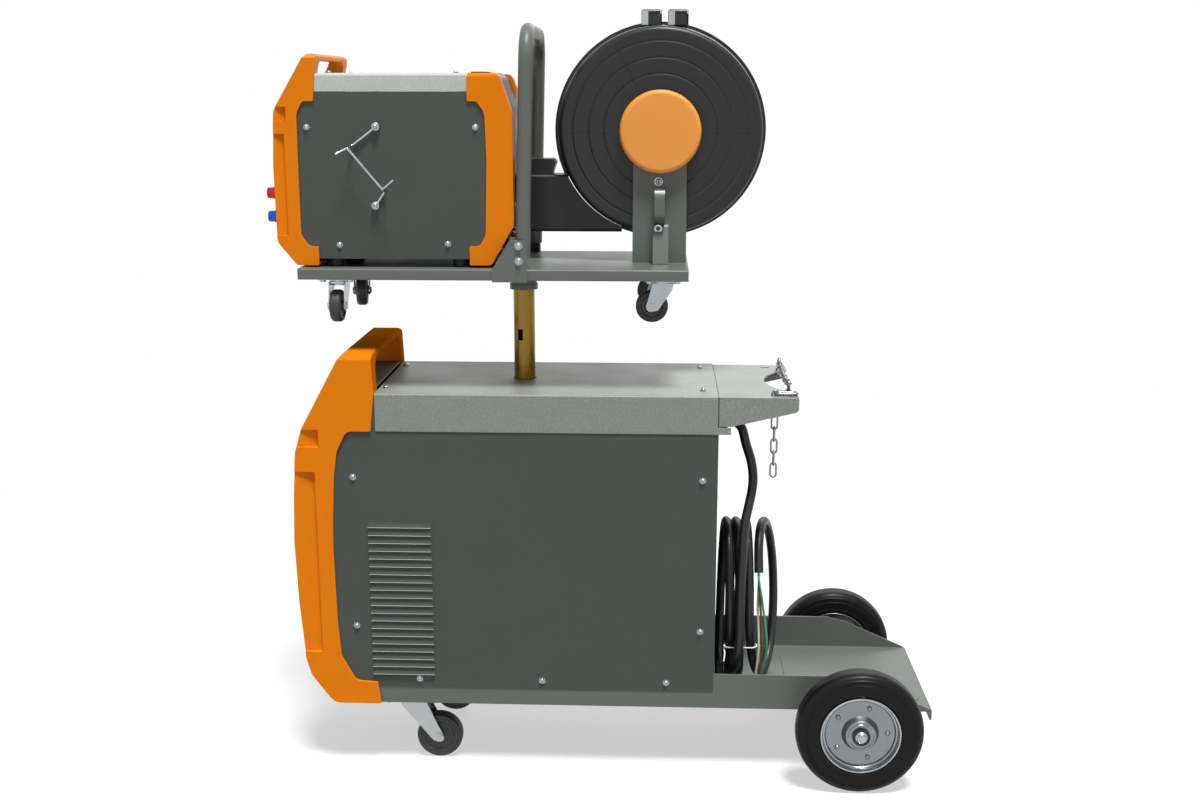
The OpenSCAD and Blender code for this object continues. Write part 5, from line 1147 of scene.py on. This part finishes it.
class WELDER_OT_feeder_bezels(Maker):
    """Finishes the feeder's two orange bezels, with the finger ribs inside the handle"""

    bl_idname = "welder.feeder_bezels"
    bl_label = "Feeder bezels"

    def execute(self, context):
        def ribs(bm):
            for y in range(-72, 73, 24):
                wire(bm, [(FEED_X0 + x, y, FEED_Z1 + z) for x, z in FINGER_RIB], 1.6, 8)

        dress("feeder_front_bezel", orange_abs(), size="moulded_edge", segments=3, more=ribs)
        dress("feeder_rear_bezel", orange_abs(), size="moulded_edge", segments=3)
        return {"FINISHED"}


class WELDER_OT_feeder_panel(Maker):
    """Finishes the feeder's front: panel, dark display, torch socket, knob and quick couplers"""

    bl_idname = "welder.feeder_panel"
    bl_label = "Feeder front panel"

    def execute(self, context):
        def display(c, n):
            return c.x < FACE_X - 0.4 and c.z > 990

        def torch_socket(c, n):
            return math.hypot(c.y - SPOOL.y, c.z - DUCT_MID) < 25 and c.z < 940

        dress("feeder_front_panel", black_abs(), [(dark_acrylic(), display), (turned_brass(), torch_socket)],
              edge=0.8)
        dress("feeder_knob", orange_polypropylene())

        bm = bmesh.new()
        for i, z in enumerate((DUCT_MID - 16, DUCT_MID + 20)):
            turn(bm, SLEEVE, (FACE_X, COUPLER_Y, z), (-1, 0, 0), 40, i)
            hexagon(bm, (FACE_X - 0.1, COUPLER_Y, z), (-1, 0, 0), 11, 5, 2)
            rod(bm, (FACE_X - 11.9, COUPLER_Y, z), (FACE_X + 16, COUPLER_Y, z), 7.3, 32, 2)
        dyed = [anodised("blue", "#2b49b4"), anodised("red", "#b8242a")]
        finished("couplers_skin", bm, dyed + [bright_zinc()], "couplers")
        return {"FINISHED"}


class WELDER_OT_torch_hangers(Maker):
    """Bends the two wire hooks and the bar between them on the feeder's panel"""

    bl_idname = "welder.torch_hangers"
    bl_label = "Torch hangers"

    def execute(self, context):
        bm = bmesh.new()
        r = sizes().hanger / MM / 2
        upper, bar, lower = (
            [HANGER_MID + Vector(v) for v in bends] for bends in (UPPER_HOOK, HOOK_BAR, LOWER_HOOK)
        )
        wire(bm, smooth_path(upper, 4), r, 12)
        wire(bm, bar, r, 12)
        wire(bm, smooth_path(lower, 4), r, 12)
        for foot in (upper[0], lower[0]):
            head = foot - Vector((0, 3.4, 0))
            rod(bm, (foot.x, -FEED_HALF, foot.z), head, 6, 32)
            screw(bm, head, (0, -1, 0), 3.8)
        finished("torch_hangers_skin", bm, [bright_zinc()], "torch_hangers")
        return {"FINISHED"}


class WELDER_OT_drive(Maker):
    """Finishes the wire drive: plate, motor, rolls and the pressure arm with its tension knob"""

    bl_idname = "welder.drive"
    bl_label = "Wire drive"

    def execute(self, context):
        def motor(c, n):
            return c.y < 8.4 and math.hypot(c.x - ROLL_X, c.z - LOWER_ROLL_Z) < 31

        def upper_roll(c, n):
            return math.hypot(c.x - ROLL_X, c.z - UPPER_ROLL_Z) < 14.6 and c.y > 30.5

        def tension_knob(c, n):
            return c.z > DUCT_MID + 38.2

        dress("drive_unit", cast_alloy(), [(black_abs(), motor)])
        dress("drive_roll", turned_brass(), edge=0.6, smooth=30)
        dress("pressure_arm", black_abs(),
              [(turned_brass(), upper_roll), (orange_polypropylene(), tension_knob)])
        return {"FINISHED"}


# ---- Floor and light ----

# Lamps: kind, place and target in metres, width in metres or in radians for the sun, and power
LAMPS = {
    "key": ("SUN", (0.35, -0.85, 2.6), (0.0, 0.0, 0.0), math.radians(14), 4.3),
    "fill": ("AREA", (-1.3, -3.4, 1.5), (0.0, 0.0, 0.6), 2.4, 8.0),
    "back": ("AREA", (0.8, 2.6, 2.6), (0.0, 0.0, 0.7), 1.8, 22.0),
}
WORLD_LIGHT, FLOOR_GLOW = 0.22, 0.55
FLOOR_HALF, FADE_FROM, FADE_TO = 14.0, 0.9, 2.2  # metres
WHITE = linear("#ffffff")


def seen_directly(tree):
    """A socket that is 1 for rays from the camera, through glass or from a reflection, and else 0."""
    ray = add(tree, "LightPath").outputs
    seen = add(tree, "Math", {0: ray["Is Camera Ray"], 1: ray["Is Transmission Ray"]}, operation="MAXIMUM")
    seen = add(tree, "Math", {0: seen.outputs[0], 1: ray["Is Glossy Ray"]}, operation="MAXIMUM")
    return seen.outputs[0]


class WELDER_OT_stage(Maker):
    """Lays a pale floor and sets soft studio light"""

    bl_idname = "welder.stage"
    bl_label = "Floor and light"

    def execute(self, context):
        bm = bmesh.new()
        bmesh.ops.create_grid(bm, x_segments=2, y_segments=2, size=FLOOR_HALF)
        floor = placed("floor", as_mesh("floor", bm))
        floor.data.materials.append(self.floor_paint())

        world = bpy.data.worlds.new("studio")
        context.scene.world = world
        tree = fresh_tree(world)
        lit = add(tree, "Background", {"Color": WHITE, "Strength": WORLD_LIGHT})
        white = add(tree, "Background", {"Color": WHITE, "Strength": 1.0})
        both = add(tree, "MixShader", {0: seen_directly(tree), 1: lit.outputs[0], 2: white.outputs[0]})
        add(tree, "OutputWorld", {0: both.outputs[0]})

        for name, (kind, at, aim, wide, power) in LAMPS.items():
            lamp = bpy.data.lights.new(name, kind)
            lamp.energy = power
            setattr(lamp, "angle" if kind == "SUN" else "size", wide)
            made = placed(name, lamp)
            made.location = at
            made.rotation_euler = (Vector(aim) - Vector(at)).to_track_quat("-Z", "Y").to_euler()
        context.scene.view_settings.view_transform = "Standard"
        return {"FINISHED"}

    def floor_paint(self):
        """Pale paint that keeps the shadow near the part and fades to the white of the background."""
        made = bpy.data.materials.new("studio floor")
        tree = fresh_tree(made)
        spot = add(tree, "TexCoord").outputs["Object"]
        away = add(tree, "VectorMath", {0: spot}, operation="LENGTH").outputs["Value"]
        far = add(tree, "MapRange", {0: away, 1: FADE_FROM, 2: FADE_TO, 3: 0.0, 4: 1.0}).outputs[0]
        matt = add(tree, "BsdfDiffuse", {"Color": linear("#a8a8a8")})
        glow = add(tree, "Emission", {"Color": WHITE, "Strength": FLOOR_GLOW})
        near = add(tree, "AddShader", {0: matt.outputs[0], 1: glow.outputs[0]})
        white = add(tree, "Emission", {"Color": WHITE, "Strength": 1.0})
        shown = add(tree, "MixShader", {0: far, 1: near.outputs[0], 2: white.outputs[0]})
        both = add(tree, "MixShader", {0: seen_directly(tree), 1: matt.outputs[0], 2: shown.outputs[0]})
        add(tree, "OutputMaterial", {0: both.outputs[0]})
        return made


# ---- Panel and registration ----

MAKERS = tuple(Maker.__subclasses__())  # in the order in which they stand above


class WELDER_PT_pieces(bpy.types.Panel):
    """Lists the sizes, the colours and the pieces."""

    bl_label = "Welder on a cart"
    bl_idname = "WELDER_PT_pieces"
    bl_space_type = "VIEW_3D"
    bl_region_type = "UI"
    bl_category = "Welder"

    def draw(self, context):
        column = self.layout.column()
        for group in (context.scene.welder_sizes, context.scene.welder_colours):
            for name in group.__annotations__:
                column.prop(group, name)
        for maker in MAKERS:
            column.operator(maker.bl_idname)


CLASSES = (WelderColours, WelderSizes) + MAKERS + (WELDER_PT_pieces,)


def register():
    for c in CLASSES:
        bpy.utils.register_class(c)
    bpy.types.Scene.welder_colours = bpy.props.PointerProperty(type=WelderColours)
    bpy.types.Scene.welder_sizes = bpy.props.PointerProperty(type=WelderSizes)


def unregister():
    del bpy.types.Scene.welder_sizes
    del bpy.types.Scene.welder_colours
    for c in reversed(CLASSES):
        bpy.utils.unregister_class(c)


def main():
    register()
    for maker in MAKERS:
        group, name = maker.bl_idname.split(".")
        if getattr(getattr(bpy.ops, group), name)() != {"FINISHED"}:
            raise RuntimeError(maker.bl_label + " was not finished")


if __name__ == "__main__":
    main()
